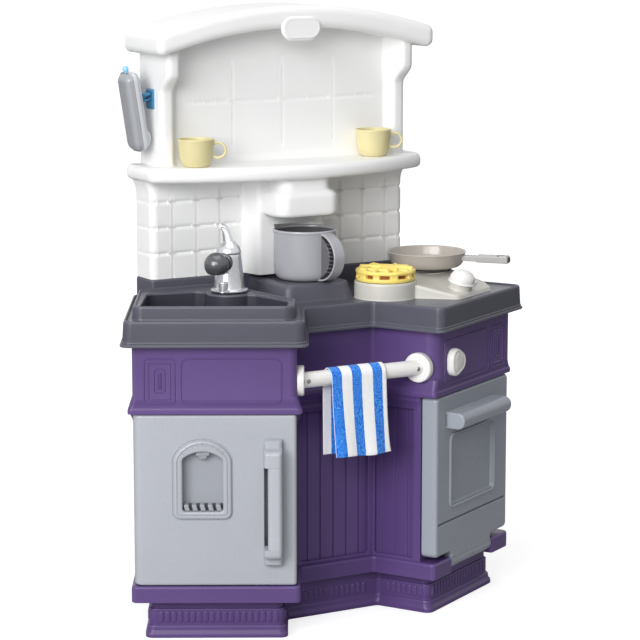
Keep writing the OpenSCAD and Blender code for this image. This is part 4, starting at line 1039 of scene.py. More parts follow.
# Oven knob: white, with three round lobes and a raised line inside the edge.
# It is pushed onto a spindle that turns in the front of the cabinet.

fittings = moulded("white_fitting_plastic", paint(238, 236, 233), rough=0.3, grain=0.03, cloud=0.01,
                   edge_highlight=0, bleed=0.08)
OVEN_KNOB_AT = (62, 413)


def oven_knob():
    mesh = bmesh.new()
    u, middle = OVEN_KNOB_AT

    def place(x, z, h):
        return wing(u + x, -h, middle + z)

    relief(mesh, place, [(-30, -30), (40, -2), (-30, 34)], 17, (
        (-2, 0.3), (-0.3, 0.6), (0, 1.6), (0, 8), (-0.5, 10), (-1.8, 11.6), (-3.4, 12.4), (-4.8, 12.2),
        (-5.8, 11.2), (-6.4, 11), (-8, 12.2), (-11, 13), (-16.5, 13.3)), arc=9)
    turned(mesh, place(0, 0, -12), ((5, 0), (5, 13)), 24, toward(0, -1, 0), (True, False))
    settle("oven_knob_cap", mesh, fittings, "oven_knob", ["oven_knob"])


oven_knob()


# Cooktop: one beige injection moulding with two round hot plates, a web and a sloped knob panel.
# A dark disc with three sunk rings is pressed onto the rear plate.

COOK_TOP = 536
FRONT_BURNER = Vector((54, 125))
REAR_BURNER = Vector((206, 143))
STOVE_KNOB_AT = (134, 30)
PANEL_FRONT, PANEL_EDGE = 8, 5
PANEL_TILT = radians(14)
PANEL_UP = toward(0, -sin(PANEL_TILT), cos(PANEL_TILT))
KNOB_BOSS_H = 9

beige = moulded("cooktop_plastic", paint(206, 204, 196), rough=0.34, grain=0.04, cloud=0.02)
burner = moulded("burner_plastic", paint(74, 71, 68), rough=0.42, grain=0.1)


def panel_height(y):
    """Height of the sloped knob panel, y behind the front; it ends at the hot plates' level."""
    return min(COOK_TOP, DECK + PANEL_EDGE + (y - PANEL_FRONT) * tan(PANEL_TILT))


def knob_panel(mesh):
    """The sloped panel with a soft raised edge, and the boss on it for the knob."""
    panel = [(58, 84), (88, 8), (203, 8), (221, 30), (223, 104), (150, 140), (90, 130)]
    corners = [9, 12, 12, 9, 12, 9, 9]
    rings = [[wing(p.x, p.y, DECK) for p in outline(panel, corners, 1, 6)]]
    for grow, drop in ((0.2, 23), (0, 4), (-0.5, 2), (-1.6, 0.6), (-3, 0), (-4.6, 0.1), (-5.4, 0.8),
                       (-6.4, 1.1)):
        rings.append([wing(p.x, p.y, max(panel_height(p.y) - drop, DECK + 1))
                      for p in outline(panel, corners, grow, 6)])
    skin(mesh, rings, cap_last=True)
    x, y = STOVE_KNOB_AT
    turned(mesh, wing(x, y, panel_height(y)), (
        (21.5, -2.2), (20, -1), (19.2, 0.4), (19, 2), (19, 7.6), (18.6, 8.6), (17.6, KNOB_BOSS_H)),
        48, PANEL_UP, (False, True))


def cooktop():
    mesh = bmesh.new()
    for centre in (FRONT_BURNER, REAR_BURNER):
        turned(mesh, wing(centre.x, centre.y, 0), (
            (51.6, DECK), (51.2, DECK + 0.8), (51, DECK + 3), (51, 531.5), (50.7, 533.8),
            (49.8, 535.5), (48.4, COOK_TOP), (47.2, 535.7), (46.4, 535.1), (45, 535), (20, 535)),
            72, close=(False, True))
    web = [(60, 86), (98, 108), (160, 130), (200, 98), (206, 185), (150, 175), (60, 168)]
    relief(mesh, above(), web, [4, 12, 4, 12, 4, 12, 4], (
        (0.8, DECK), (0, DECK + 1), (0, 531), (-0.6, 533.2), (-2, 534.4), (-4, 534.8)))
    knob_panel(mesh)
    settle("cooktop_moulding", mesh, beige, "frame", ["cooktop"])
    mesh = bmesh.new()
    profile = [(51.2, -3.6), (51.6, -3.2), (51.7, 0.6), (51, 1.8), (49.6, 2.4), (48, 2.5)]
    for r in (40, 30, 18):
        profile += [(r, 2.5), (r - 1, 2), (r - 2.4, 2), (r - 3.4, 2.5)]
    turned(mesh, wing(REAR_BURNER.x, REAR_BURNER.y, COOK_TOP), profile, 72, close=(False, True))
    settle("burner_plate", mesh, burner, "frame", ["burner_disc"])


cooktop()


# Stove knob and inlay: a white dome on a flared skirt turns on the sloped panel.
# The three-cornered white inlay beside it is pressed in, with a small dark dot.

def stove_knob():
    x, y = STOVE_KNOB_AT
    mesh = bmesh.new()
    turned(mesh, wing(x, y, panel_height(y)) + PANEL_UP * KNOB_BOSS_H, (
        (20, 0.3), (21.8, 0.4), (22.5, 1), (22.6, 2), (22.1, 3), (21.2, 3.6), (21, 4.6), (20.9, 7.6),
        (20.2, 10.8), (18.4, 14.4), (15.4, 17.6), (11.4, 20), (6.8, 21.4), (3, 21.8)), 48, PANEL_UP,
        (True, True))
    settle("stove_knob_dome", mesh, fittings, "stove_knob", ["stove_knob"])


def stove_inlay():
    at_x, at_y = 188, 38

    def place(x, y, h):
        return wing(at_x + x, at_y + y, panel_height(at_y + y) + h)

    mesh = bmesh.new()
    relief(mesh, place, [(-12, -12), (14, -4), (-2, 20)], 2, (
        (0, -1.2), (0, 0.7), (-0.4, 1.3), (-1.2, 1.5)), arc=4)
    settle("stove_inlay_plate", mesh, fittings, "frame", ["stove_inlay"])
    mesh = bmesh.new()
    turned(mesh, place(-7, -6, 1.4), ((1.7, 0), (1.7, 0.4), (1.1, 0.6)), 20, PANEL_UP, (False, True))
    settle("stove_inlay_dot", mesh, burner, "frame", ())


stove_knob()
stove_inlay()


# Tap: a plated column on the sink block, with a dark rounded spout.
# The domed cap turns on the column by its fluted lever.

SPOUT_RISE = 48
SPOUT_TURN = radians(-22)
LEVER_LEAN = radians(13)
TAP_FOOT = wing(TAP_AT.x, TAP_AT.y, SINK_RIM, -1)
SPOUT_OUT = toward(-sin(SPOUT_TURN), -cos(SPOUT_TURN), 0, -1)

smoked = moulded("smoked_plastic", paint(76, 78, 82), rough=0.2, grain=0.02, shine=0.8, edge_highlight=0)


def tube(mesh, spine, radii, count=20, flute=0.0, ribs=8):
    """A round bar along a line of points, with flutes if wanted."""
    rings = []
    for i, point in enumerate(spine):
        ahead = (spine[min(i + 1, len(spine) - 1)] - spine[max(i - 1, 0)]).normalized()
        side = Vector((0.13, 1, 0.02)).cross(ahead).normalized()
        other = ahead.cross(side)
        ring = []
        for k in range(count):
            a = 2 * pi * k / count
            r = radii[i] * (1 - flute * (0.5 - 0.5 * cos(ribs * a)))
            ring.append(point + side * (r * cos(a)) + other * (r * sin(a)))
        rings.append(ring)
    return skin(mesh, rings, cap_first=True, cap_last=True)


def tap_column():
    mesh = bmesh.new()
    turned(mesh, TAP_FOOT, (
        (29, 0), (TAP_FLANGE, 0.3), (TAP_FLANGE, 1.8), (29.2, 2.7), (27.6, 3.2), (26, 3.4), (25.2, 4.4),
        (24.7, 6), (23.6, 16), (21.6, 34), (19.6, 54), (19.2, 57.6), (18.7, 59.2), (17.6, 60)), 56,
        close=(False, True))
    turned(mesh, TAP_FOOT + SPOUT_OUT * 22, (
        (8.6, 0.2), (8.2, 3.4), (8, 15), (7.4, 16.6), (6, 17.4)), 32, close=(False, True))
    settle("tap_column_shell", mesh, silver, "frame", ["tap_column"])


def tap_spout():
    """A ball with a flat mouth below, on a short neck that comes out of the column."""
    mesh = bmesh.new()
    centre = TAP_FOOT + SPOUT_OUT * 50 + Vector((0, 0, SPOUT_RISE))
    ball, mouth, count = 19.6, -15, 40
    rings = []
    for i in range(1, 20):
        lat = pi * i / 20 - pi / 2
        r, z = ball * cos(lat), ball * sin(lat)
        if z < mouth:
            r, z = r * 0.8, mouth - (0.3 if i > 1 else 0)
        rings.append([centre + Vector((cos(2 * pi * k / count) * r, sin(2 * pi * k / count) * r, z))
                      for k in range(count)])
    skin(mesh, rings, cap_first=True, cap_last=True)
    turned(mesh, TAP_FOOT + SPOUT_OUT * 19 + Vector((0, 0, SPOUT_RISE)), (
        (14.2, 0), (15, 0.8), (15, 6.6), (14.2, 7.6), (12.6, 8), (12.8, 14), (13.6, 30)), 40, SPOUT_OUT)
    settle("tap_spout_shell", mesh, smoked, "frame", ["tap_spout"])


def tap_lever():
    """The cap turns on the column; its fluted lever leans outwards and ends in a white button."""
    mesh = bmesh.new()
    top = TAP_FOOT + Vector((0, 0, 60.3))
    turned(mesh, top, (
        (18, 0), (19.3, 0.3), (19.6, 1.2), (19.4, 3), (18.4, 6.8), (16.4, 10.6), (13.6, 14),
        (10.6, 16.8), (9.2, 19)), 48, close=(True, True))
    lean = toward(sin(LEVER_LEAN), 0, cos(LEVER_LEAN), -1)
    outward = toward(1, 0, 0, -1)
    foot = top + Vector((0, 0, 14))
    spine = [foot + lean * up + outward * out for up, out in (
        (0, 0), (5, 0), (11, 0), (17, 0), (22, 0), (25.5, 0.8), (28, 2.8), (29, 6))]
    tube(mesh, spine, [9.6, 8.6, 7.8, 7.1, 6.5, 6, 5.4, 5], 32, 0.12)
    settle("tap_lever_cap", mesh, silver, "tap_lever", ["tap_lever"], smooth=45)
    mesh = bmesh.new()
    turned(mesh, foot + lean * 29 + outward * 5, (
        (4.2, 0), (5.2, 0.6), (5.4, 2), (5.1, 3.2), (4.2, 4), (2.6, 4.4)), 24, outward, (True, True))
    settle("tap_button", mesh, fittings, "tap_lever", ())


tap_column()
tap_spout()
tap_lever()


# Towel bar: a white tube between two round flanges on the side walls of the wings.
# A steel screw near each end goes through the tube into its flange.

BAR_Z, BAR_Y, BAR_R = 410, INNER_FRONT + 24, 12.5
FLANGE_T = 11
SCREW_X = 100.2

steel = moulded("screw_steel", paint(150, 151, 155), rough=0.3, grain=0.02, shine=0.9)
steel.node_tree.nodes["Principled BSDF"].inputs["Metallic"].default_value = 0.9


def towel_bar():
    bar_in = BAR_Y - INNER_FRONT
    end = INNER_EDGE + (-FLANGE_T / 2 - bar_in * sin(WING_ANGLE)) / cos(WING_ANGLE)
    mesh = bmesh.new()
    turned(mesh, Vector((-end, BAR_Y, BAR_Z)), ((BAR_R, 0), (BAR_R, 2 * end)), 48, Vector((1, 0, 0)))
    settle("towel_bar_tube", mesh, fittings, "frame", ["towel_bar"])
    flange_in = (INNER_EDGE - end) * sin(WING_ANGLE) + bar_in * cos(WING_ANGLE)
    for side, name in ((-1, "left"), (1, "right")):
        mesh = bmesh.new()
        turned(mesh, wing(0, flange_in, BAR_Z, side), (
            (23.4, 0), (24, 0.6), (24, 8.4), (23.5, 9.9), (22.4, 10.8), (21, FLANGE_T)), 56,
            toward(-1, 0, 0, side), (True, True))
        settle("flange_disc_" + name, mesh, fittings, "frame", ["flange_" + name])


def bar_screws():
    """Round heads with a cross in each."""
    mesh = bmesh.new()
    out = Vector((0, -1, 0))
    slot_long, slot_wide = 1.9, 0.45
    for x in (-SCREW_X, SCREW_X):
        head = Vector((x, BAR_Y - 11, BAR_Z))
        turned(mesh, head, ((3.5, 0), (3.5, 1.4), (3, 2), (1.6, 2.2)), 24, out, (False, False))
        for turn in (0, pi / 2):
            along, across = Vector((cos(turn), 0, sin(turn))), Vector((-sin(turn), 0, cos(turn)))
            slot = [head + along * (s * slot_long) + across * (t * slot_wide)
                    for s, t in ((-1, -1), (1, -1), (1, 1), (-1, 1))]
            skin(mesh, [[p + out * h for p in slot] for h in (2.1, 1)], cap_last=True)
    settle("bar_screw_heads", mesh, steel, "frame", ["bar_screws"])


towel_bar()
bar_screws()


# Towel: a small white terry cloth with three woven blue stripes, folded over the bar.
# The cut edges are hemmed; the front layer hangs a little further out at its foot.

TOWEL_WIDTH = 99
TOWEL_LEFT = -60
TOWEL_FRONT, TOWEL_REAR = 127, 128
TOWEL_THICK = 2.6
TOWEL_ROUND = 14.4


def terry():
    """White cotton with blue stripes whose edges wobble; the loops of the blue are of two shades."""
    mat = moulded("terry_cotton", paint(250, 250, 250), rough=0.95, grain=0.5, cell=1500, cloud=0.02,
                  edge_highlight=0, shine=0.15)
    tree = mat.node_tree
    body = tree.nodes["Principled BSDF"]
    body.inputs["Sheen Weight"].default_value = 0.2
    body.inputs["Sheen Roughness"].default_value = 0.6
    weave = shader(tree, "UVMap", uv_map="across_and_along").outputs["UV"]
    wobble = shader(tree, "TexNoise", {"Scale": 150, "Vector": weave})
    across = shader(tree, "SeparateXYZ", {0: weave}).outputs["X"]
    shift = shader(tree, "Math", {0: wobble.outputs["Fac"], 1: 0.012, 2: across},
                   operation="MULTIPLY_ADD")
    stripes = None
    for middle in (0.09, 0.45, 0.83):
        stripe = shader(tree, "Math", {0: shift.outputs[0], 1: middle + 0.006, 2: 0.087},
                        operation="COMPARE").outputs[0]
        if stripes is None:
            stripes = stripe
        else:
            stripes = shader(tree, "Math", {0: stripes, 1: stripe}, operation="ADD").outputs[0]
    place = shader(tree, "TexCoord").outputs["Object"]
    loops = shader(tree, "TexNoise", {"Scale": 560, "Detail": 3, "Vector": place})
    ramp = shader(tree, "ValToRGB", {"Fac": loops.outputs["Fac"]})
    for element, position, dye in ((0, 0.43, paint(0, 84, 205)), (1, 0.6, paint(78, 172, 255))):
        ramp.color_ramp.elements[element].position = position
        ramp.color_ramp.elements[element].color = dye
    cotton = body.inputs["Base Color"].links[0].from_socket
    dyed = blend(tree, "MIX", stripes, cotton, ramp.outputs["Color"])
    tree.links.new(dyed, body.inputs["Base Color"])
    return mat


def towel():
    mesh = bmesh.new()
    turn = pi * TOWEL_ROUND
    length = TOWEL_FRONT + turn + TOWEL_REAR
    across, along = 60, 190
    loop_size = 0.5

    def cloth(u, s, off):
        """Point of the cloth: u across from 0 to 1, s along it from the front hem, off its middle."""
        angle = max(0, min(turn, s - TOWEL_FRONT)) / TOWEL_ROUND
        hang = max(0, TOWEL_FRONT - s, s - TOWEL_FRONT - turn)
        droop = (hang / TOWEL_FRONT) ** 1.4
        front_layer = s < TOWEL_FRONT + turn / 2
        if front_layer:
            shift, flare, lean, wave_at, sag_at = 7, 0.05, 2.5, 0.5, 0
        else:
            shift, flare, lean, wave_at, sag_at = 2.5, 0, 0, 2.2, 1
        fold = 3.2 * droop * (0.5 - 0.5 * cos(4 * pi * u + wave_at))
        x = TOWEL_LEFT + TOWEL_WIDTH * (0.5 + (u - 0.5) * (1 - flare * droop)) + shift * droop
        out = TOWEL_ROUND + fold + off + lean * droop
        if front_layer and u > 0.9:
            x += 3 * droop ** 4 * ((u - 0.9) / 0.1) ** 2
        if front_layer and u < 0.12:
            out -= 5 * droop * (1 - u / 0.12) ** 2
        sag = 1.2 * sin(2.3 * pi * u + sag_at) * droop
        high = BAR_Z - hang + sin(angle) * (TOWEL_ROUND + off) + sag
        return Vector((x, BAR_Y - cos(angle) * out, high))

    layers = []
    for face in (1, -1):
        grid = []
        for j in range(along + 1):
            s = length * j / along
            to_end = min(s, length - s)
            row = []
            for i in range(across + 1):
                u = i / across
                rim = min(u * TOWEL_WIDTH, (1 - u) * TOWEL_WIDTH, to_end)
                hem = 0.35 if 1.2 < to_end < 4 else 0
                pile = loop_size * noise.noise(Vector((u * 95, s * 0.95, face * 7.0)))
                half = TOWEL_THICK / 2 * min(1, 0.35 + rim / 1.8) + (pile - hem if rim > 0.5 else 0)
                row.append(mesh.verts.new(cloth(u, s, face * half)))
            grid.append(row)
        layers.append(grid)
    uv = mesh.loops.layers.uv.new("across_and_along")

    def quad(corners, marks):
        face = mesh.faces.new(corners)
        for loop, mark in zip(face.loops, marks):
            loop[uv].uv = mark

    def mark_at(i, j):
        """Where the weave lies: behind the bar the stripes run a little askew."""
        skew = max(0, min(1, (length * j / along - TOWEL_FRONT - turn / 2) / 40))
        return (i / across - 0.14 * skew, j / along * 3)

    for grid in layers:
        for j in range(along):
            for i in range(across):
                marks = [mark_at(i + a, j + b) for a, b in ((0, 0), (1, 0), (1, 1), (0, 1))]
                quad((grid[j][i], grid[j][i + 1], grid[j + 1][i + 1], grid[j + 1][i]), marks)
    top, under = layers
    rim = [(j, 0) for j in range(along)] + [(along, i) for i in range(across)]
    rim += [(j, across) for j in range(along, 0, -1)] + [(0, i) for i in range(across, 0, -1)]
    for (j, i), (b, a) in zip(rim, rim[1:] + rim[:1]):
        marks = [mark_at(i, j), mark_at(a, b)]
        quad((top[j][i], top[b][a], under[b][a], under[j][i]), marks + marks[::-1])
    piece = settle("striped_towel", mesh, terry(), "towel", ["towel"], smooth=180)


towel()


# Phone: two satin grey shells with a seam between them, a mouthpiece bulge, and a ball as aerial.
# It hangs by a blue clip on the side of the wall and leans out at its head.

PHONE_AT = Vector((-258, WALL_FACE + 15, SHELF_TOP + 87))
PHONE_LEAN = radians(9)
PHONE_WIDE, PHONE_LONG = 45, 128

phone_grey = moulded("phone_plastic", paint(156, 158, 163), rough=0.3, grain=0.02, shine=0.6, edge_highlight=0.6)
phone_pale = moulded("phone_back_plastic", paint(206, 209, 214), rough=0.3, grain=0.02, edge_highlight=0.2)
blue = moulded("blue_plastic", paint(58, 130, 172), rough=0.25, grain=0.02)
aqua = moulded("aerial_plastic", paint(148, 208, 238), rough=0.15, grain=0.01, edge_highlight=0, bleed=0.3)


def phone_point(x, y, z):
    """A point in the phone's own leaning frame: x towards the wall, z along it."""
    return PHONE_AT + Vector((x * cos(PHONE_LEAN) - z * sin(PHONE_LEAN), y,
                              x * sin(PHONE_LEAN) + z * cos(PHONE_LEAN)))


def phone_way(x, y, z):
    return (phone_point(x, y, z) - phone_point(0, 0, 0)).normalized()


def on_shell(y, z, x):
    """A point of a shell; the front one is bowed, fuller in its middle than at its ends."""
    bow = 3.4 * (z / (PHONE_LONG / 2)) ** 2 if x < -5 else 0
    return phone_point(x + bow, y, z)


def phone():
    shape = rect(-PHONE_WIDE / 2, -PHONE_LONG / 2, PHONE_WIDE / 2, PHONE_LONG / 2)
    mesh = bmesh.new()
    relief(mesh, on_shell, shape, 15, (
        (-3, -1), (-0.5, -1.2), (0, -1.8), (0, -4), (-0.4, -5), (-1.6, -6.4), (-1.9, -8), (-3.6, -11),
        (-6.6, -13.4), (-9.6, -14.6), (-13, -15)), arc=8)
    settle("phone_front_shell", mesh, phone_grey, "phone", ["phone_front"])
    mesh = bmesh.new()
    relief(mesh, on_shell, shape, 15, (
        (-3, -1.2), (-0.9, -0.9), (-0.2, -0.4), (0, 0.4), (0, 4.4), (-0.5, 5.6), (-1.8, 6.4),
        (-2.4, 7.6), (-3.4, 10), (-5.4, 11.6), (-8, 12)), arc=8)
    for z, high in ((-44, 17.8), (44, 14.8)):
        turned(mesh, phone_point(0, 0, z), (
            (15.4, 10.6), (14.4, 11.8), (14, 13), (13.8, high - 1.8), (12.8, high - 0.4), (11.2, high),
            (9.6, high - 0.6), (5, high - 0.9)), 36, phone_way(1, 0, 0), (False, True))
    settle("phone_back_shell", mesh, phone_pale, "phone", ["phone_back"])
    mesh = bmesh.new()
    turned(mesh, phone_point(-2, 0, PHONE_LONG / 2 - 3), (
        (3, 0), (3, 3.6), (4.2, 4.4), (4.9, 6.4), (5, 8), (4.7, 9.8), (3.9, 11.3), (2.6, 12.4),
        (1.2, 12.9)), 28, phone_way(0, 0, 1), (True, True))
    settle("phone_aerial", mesh, aqua, "phone", ["phone_antenna"])


def phone_clip():
    """A small plate on the wall's end, with two arms that reach into the back of the phone."""
    mesh = bmesh.new()

    def wall_end(y, z, x):
        return Vector((-UPPER_HALF - x, PHONE_AT.y + y, PHONE_AT.z + 19 + z))

    relief(mesh, wall_end, rect(-13, -16, 13, 16), 3, ((0, -1), (0, 1.6), (-0.5, 2.5), (-1.6, 3)))
    arms = [(8, 10.4), (30.4, 14.6), (30.4, 17), (13, 18.5), (30.4, 22), (30.4, 25), (8, 26.6)]
    relief(mesh, lambda x, z, y: phone_point(x, y, z), arms, 0.9, (
        (-1, -10), (-0.3, -9.7), (0, -9), (0, 9), (-0.3, 9.7), (-1, 10)), arc=3, first=True)
    settle("phone_hook", mesh, blue, "frame", ["phone_clip"])


phone()
phone_clip()


# Coffee pot: thin grey plastic, open at the top, with a round rim that runs out into a lip.
# A strap handle is moulded on, with a ladder of slots between it and the pot.

POT_R, POT_H = 51, 82
LIP_TURN = radians(172)

pot_grey = moulded("pot_plastic", paint(168, 168, 174), rough=0.18, grain=0.02, cloud=0.02, shine=0.6,
                   edge_highlight=0.9)
# The inside of the pot and the web of its handle are the pot's plastic painted darker: painted shade.
pot_painted_shade = moulded("pot_inside_painted_shade", paint(104, 103, 106), rough=0.22, grain=0.02, edge_highlight=0)
# A near black for the shade seen through the handle's slots: painted shadow.
pot_slot_painted_shadow = moulded("pot_slot_shadow", paint(14, 14, 15), rough=0.7, grain=0.02, edge_highlight=0)


def pour_lip(mesh):
    """Draws the rim out and up into a lip on one side."""
    for v in mesh.verts:
        away = v.co - POT_AT
        turn = abs((atan2(away.y, away.x) - LIP_TURN + pi) % (2 * pi) - pi)
        near = max(0, 1 - turn / radians(13))
        lip = near * near * (3 - 2 * near) * max(0, (away.z - 62) / 20) ** 1.5
        v.co += Vector((away.x, away.y, 0)).normalized() * (4.6 * lip) + Vector((0, 0, 1.4 * lip))


def coffee_pot():
    swing = radians(12)
    out = Vector((sin(swing), -cos(swing), 0))
    across = Vector((cos(swing), sin(swing), 0))
    middle = POT_AT + out * (POT_R - 6) + Vector((0, 0, POT_H / 2 - 1))
    loop_r, strap, half = POT_H / 2 - 2, 3, 11
    under_strap = loop_r - strap

    def place(x, z, h):
        return middle + out * x + Vector((0, 0, z)) + across * h

    mesh = bmesh.new()
    turned(mesh, POT_AT, (
        (34, 2.2), (36, 0.8), (38, 0), (42.6, 1), (46.9, 4.2), (49.6, 8.2), (50.6, 12.6), (50.8, 20),
        (50.8, 76.4), (51.4, 77.2), (52, 78.6), (52, 80.4), (51.4, 81.6), (50.2, POT_H), (49, 81.6),
        (48.5, 80.4), (48.4, 78)), 88, close=(True, False))
    # The lining is a piece of its own so that it can be painted darker as shade.
    lining = bmesh.new()
    turned(lining, POT_AT, ((48.4, 78), (48.2, 20), (47.4, 12), (43.8, 5.6), (38, 2.8), (20, 2.5)), 88,
           close=(False, True))
    pour_lip(mesh)
    pour_lip(lining)
    section = outline(rect(under_strap, -half, loop_r, half), [0.9, 1.3, 1.3, 0.9], 0, 3)
    rings = []
    count = 44
    for i in range(count + 1):
        a = pi * (i / count - 0.5) * 1.04
        spoke = out * cos(a) + Vector((0, 0, sin(a)))
        rings.append([middle + spoke * p.x + across * p.y for p in section])
    skin(mesh, rings, cap_first=True, cap_last=True)
    for i in range(8):
        z = (i - 3.5) * 6.4
        reach = sqrt((under_strap + 0.6) ** 2 - z * z)
        relief(mesh, place, rect(reach - 13.6, z - 0.9, reach + 0.4, z + 0.9), 0.5, (
            (-0.3, -half + 0.8), (0, -half + 1.2), (0, half - 1.2), (-0.3, half - 0.8)))
    settle("coffee_pot_shell", mesh, pot_grey, "coffee_pot", ["coffee_pot"])

    def under(i, sweep):
        """One of 25 points along the underside of the strap: its way out and its height."""
        a = pi * (i / 24 - 0.5) * sweep
        return cos(a) * under_strap, sin(a)

    # The web between the strap and the pot, painted darker as shade like the lining.
    web = [(x - 11.6, z * (under_strap + 0.5)) for x, z in (under(i, 0.93) for i in range(25))]
    web = [point for point in web if point[0] > 3]
    web = [(3, web[0][1])] + web + [(3, web[-1][1])]
    relief(lining, place, web, 0.01, (
        (-0.5, -half + 1.6), (0, -half + 2), (0, half - 2), (-0.5, half - 1.6)), arc=1, first=True)
    settle("coffee_pot_inside", lining, pot_painted_shade, "coffee_pot", ())
    # Painted shadow: a black block behind the ribs of the handle stands for the shade seen through its
    # slots.
    mesh = bmesh.new()
    rings = []
    for x, z in (under(i, 0.86) for i in range(25)):
        x, z = x - 0.4, z * under_strap
        rings.append([place(x + a, z, h) for a, h in ((-12.6, -9.1), (0, -9.1), (0, 9.1), (-12.6, 9.1))])
    skin(mesh, rings, cap_first=True, cap_last=True)
    settle("coffee_pot_slot_painted_shadow", mesh, pot_slot_painted_shadow, "coffee_pot", ())


coffee_pot()


# Pan: warm grey plastic with a round rim, moulded in one with its handle.
# The handle is a flat bar with raised ribs, a dark end and a slot to hang the pan by.

PAN_AT = Vector((205, 131.2))
PAN_R, PAN_H = 66, 26
PAN_FOOT = COOK_TOP + 2.8

pan_grey = moulded("pan_plastic", paint(182, 175, 167), rough=0.2, grain=0.02, cloud=0.02, shine=0.6,
                   edge_highlight=0.8)
pan_grip = moulded("pan_grip_plastic", paint(168, 167, 166), rough=0.3, grain=0.04, edge_highlight=0.5)


def pan():
    mesh = bmesh.new()
    turned(mesh, wing(PAN_AT.x, PAN_AT.y, PAN_FOOT), (
        (46, 0.9), (47.6, 0.2), (49.5, 0), (54, 0.9), (57.9, 3.4), (60.6, 7.4), (61.8, 12),
        (64.9, 23.4), (65.7, 24.2), (66.2, 25.1), (65.8, 25.9), (64.8, 26.2), (63.8, 25.9),
        (63.2, 25), (62.6, 23.2), (59.6, 12), (57.8, 8), (54.4, 4.4), (49.6, 2.7), (20, 2.5)), 88,
        close=(True, True))
    settle("pan_shell", mesh, pan_grey, "pan", ["pan"])


def pan_handle():
    mesh = bmesh.new()
    turn = radians(-78)
    start, neck, grip = PAN_R - 4.5, PAN_R + 22, PAN_R + 75.5
    low, high = PAN_H - 15, PAN_H - 4

    def place(x, y, h):
        """x runs along the handle, out of the pan."""
        a, b = x * cos(turn) - y * sin(turn), x * sin(turn) + y * cos(turn)
        return wing(PAN_AT.x + a, PAN_AT.y + b, PAN_FOOT + h)

    def on_top(x, y, h):
        return place(x, y, high + h)

    for half, x0, x1, z0, z1 in ((7, start, neck + 2, low + 1, high - 1), (9, neck, grip, low, high)):
        relief(mesh, lambda y, z, x: place(x, y, z), rect(-half, z0, half, z1), 1.6, (
            (-1, x0), (-0.3, x0 + 0.3), (0, x0 + 1), (0, x1 - 0.9), (-0.3, x1 - 0.3), (-1, x1)),
            arc=4, first=True)
    for y in (-7.4, 7.4):
        relief(mesh, on_top, rect(neck + 3, y - 0.9, grip - 17, y + 0.9), 0.8, (
            (0.2, -0.2), (0, 0.6), (-0.4, 1)))
    relief(mesh, on_top, rect(neck + 1, -8.4, neck + 3, 8.4), 0.8, ((0, -0.2), (-0.3, 0.8)))
    pad = rect(grip - 15.5, -8.6, grip - 1, 8.6)
    relief(mesh, on_top, pad, 1.6, ((0, -0.4), (-0.2, 1.1), (-0.8, 1.5)))
    for i in range(3):
        x = PAN_R + 5 + i * 5.4
        relief(mesh, on_top, rect(x, -6.4, x + 1.4, 6.4), 0.5, ((0, -1.2), (-0.2, -0.3)))
    settle("pan_handle", mesh, pan_grip, "pan", ())
    mesh = bmesh.new()
    end = rect(-7.6, low + 1.2, 7.6, high - 1.2)
    relief(mesh, lambda y, z, h: place(grip + h, y, z), end, 1.4, ((0, -0.4), (0, 0.8), (-0.5, 1.2)))
    relief(mesh, on_top, rect(grip - 20, -4, grip - 6, 4), 3.8, ((0, 0.6), (-0.4, 1.56)), arc=6)
    settle("pan_handle_end", mesh, burner, "pan", ())


pan()
pan_handle()


# Waffle: play food in yellow plastic, a thick disc with an open lattice of rounded bars on top.
# The holes round its side are toasted brown inside.

yellow = moulded("waffle_plastic", paint(250, 224, 120), rough=0.4, grain=0.05, cloud=0.04, patch=30,
                 edge_highlight=0.1, bleed=0.1)
toasted = moulded("toasted_plastic", paint(150, 84, 40), rough=0.6, grain=0.1)


def turned_flat(base, along, side, off=0):
    """Lets a shape be drawn from above round a point, with its two directions given."""
    return lambda x, y, h: base + along * x + side * (off + y) + Vector((0, 0, h))


def lattice_bars(mesh, base):
    """Round-topped bars in two directions and one across them, each at a height of its own."""
    bars = ((18, -28, 19, 32), (20, -9.5, 21.4, 45), (16, 9, 19.6, 45), (19, 28, 20.8, 32),
            (108, -26, 21.6, 34), (105, -5, 23, 45), (110, 17, 20.6, 41), (62, 2, 24, 37))
    for degrees, off, high, reach in bars:
        turn = WING_ANGLE + radians(degrees)
        along, side = Vector((cos(turn), sin(turn), 0)), Vector((-sin(turn), cos(turn), 0))
        relief(mesh, turned_flat(base, along, side, off), rect(-reach, -4, reach, 4), 3.6, (
            (-1, 12), (0, 13), (0.1, high - 3.6), (-0.4, high - 1.8), (-1.5, high - 0.5), (-2.8, high)))


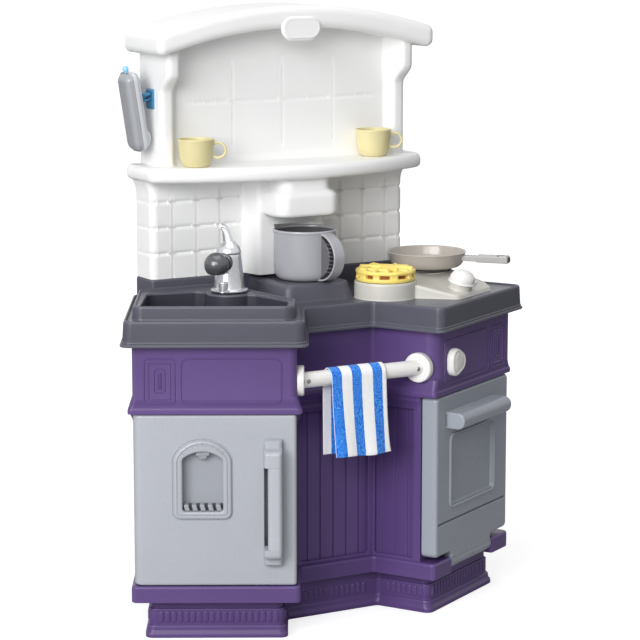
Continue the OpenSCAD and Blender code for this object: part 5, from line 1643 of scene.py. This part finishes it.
def waffle():
    base = wing(FRONT_BURNER.x, FRONT_BURNER.y, COOK_TOP + 0.3)
    mesh = bmesh.new()
    turned(mesh, base, (
        (44, 0.5), (46.4, 0), (47.8, 0.7), (48.5, 2.4), (48.5, 4.6), (47.8, 6), (46, 6.6),
        (42, 6.4)), 72, close=(True, False))
    count = 90
    rings = []
    for r, h in ((37, 13), (40, 12.2), (46.4, 12), (48, 12.8), (48.6, 14.4), (48.2, 16.4),
                 (46.6, 17.8), (44, 18.3), (40, 18), (37, 15.6)):
        ring = []
        for i in range(count):
            a = 2 * pi * i / count
            lump = noise.noise(Vector((cos(a) * 2.6, sin(a) * 2.6, 4.2)))
            rise = 1.8 * lump if h > 13 else 0.5 * lump
            ring.append(base + Vector((cos(a), sin(a), 0)) * (r + 0.8 * lump) + Vector((0, 0, h + rise)))
        rings.append(ring)
    skin(mesh, rings)
    posts = 10
    for i in range(posts):
        a = 2 * pi * i / posts + 0.12 + 0.06 * sin(5 * i)
        radial, along = Vector((cos(a), sin(a), 0)), Vector((-sin(a), cos(a), 0))
        foot = base + radial * 43.6
        relief(mesh, turned_flat(foot, along, radial), rect(-6.4 - sin(3 * i), -4.5, 6.4, 4.2), 2.6, (
            (0.9, 5.2), (0, 7), (-0.2, 9.5), (0, 12), (1.2, 14.5)), arc=4)
    lattice_bars(mesh, base)
    settle("waffle_lattice", mesh, yellow, "waffle", ["waffle"])
    mesh = bmesh.new()
    turned(mesh, base, ((41, 5), (41, 13.4), (20, 13.6)), 60, close=(False, True))
    settle("waffle_inside", mesh, toasted, "waffle", ())


waffle()


# Cups: two cream play cups, injection moulded with thin walls.
# Each has a ring for a handle and stands loose on the shelf.

CUP_R, CUP_H = 29.5, 44

cream = moulded("cup_plastic", paint(221, 210, 160), rough=0.32, grain=0.02, cloud=0.02, patch=25,
                bleed=0.05)


def cup(name, x, out_of_wall):
    mesh = bmesh.new()
    base = Vector((x, WALL_FACE - out_of_wall, SHELF_TOP + 0.3))
    turned(mesh, base, (
        (14, 1.2), (17, 1), (18, 0.2), (19, 0), (20, 0.4), (22.6, 4), (25, 8.6), (25.9, 12), (27.6, 26),
        (28.9, 40.8), (29.5, 42), (29.6, 43), (29.1, 43.8), (28.3, CUP_H), (27.5, 43.6), (27, 42.4),
        (25.6, 26), (23.9, 12), (22.4, 8), (19, 3.6), (15, 2)), 64, close=(True, True))
    turn = radians(-30)
    out, up = Vector((cos(turn), sin(turn), 0)), Vector((0, 0, 1))
    side = out.cross(up)
    middle = base + out * (CUP_R + 5.5) + up * (CUP_H / 2 + 4)
    ring_r, count, round_count = 12, 40, 14
    rings = []
    for i in range(count + 1):
        a = 2 * pi * i / count
        spoke = out * cos(a) + up * sin(a)
        rings.append([middle + spoke * (ring_r + 2.2 * cos(b)) + side * (2.4 * sin(b))
                      for b in (2 * pi * k / round_count for k in range(round_count))])
    skin(mesh, rings)
    settle(name + "_shell", mesh, cream, name, [name])


cup("cup_left", -175, 40)
cup("cup_right", 155.5, 36)


# Parts inside and behind: the oven's rack, the fridge's shelf, the hinge pins and the screws.
# They are plain parts, so they keep the shape that they are built with and only get a colour.

rack_wire = moulded("rack_plastic", paint(176, 180, 186), rough=0.35, grain=0.03)
shelf_plastic = moulded("inner_shelf_plastic", paint(222, 225, 229), rough=0.4, grain=0.05, edge_highlight=0.1)
hidden_coats = {"oven_rack": rack_wire, "fridge_shelf": shelf_plastic, "fridge_pins": steel,
                "oven_pins": steel, "wall_screws": steel}
for name, coat in hidden_coats.items():
    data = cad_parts[name].data
    data.materials.clear()
    data.materials.append(coat)
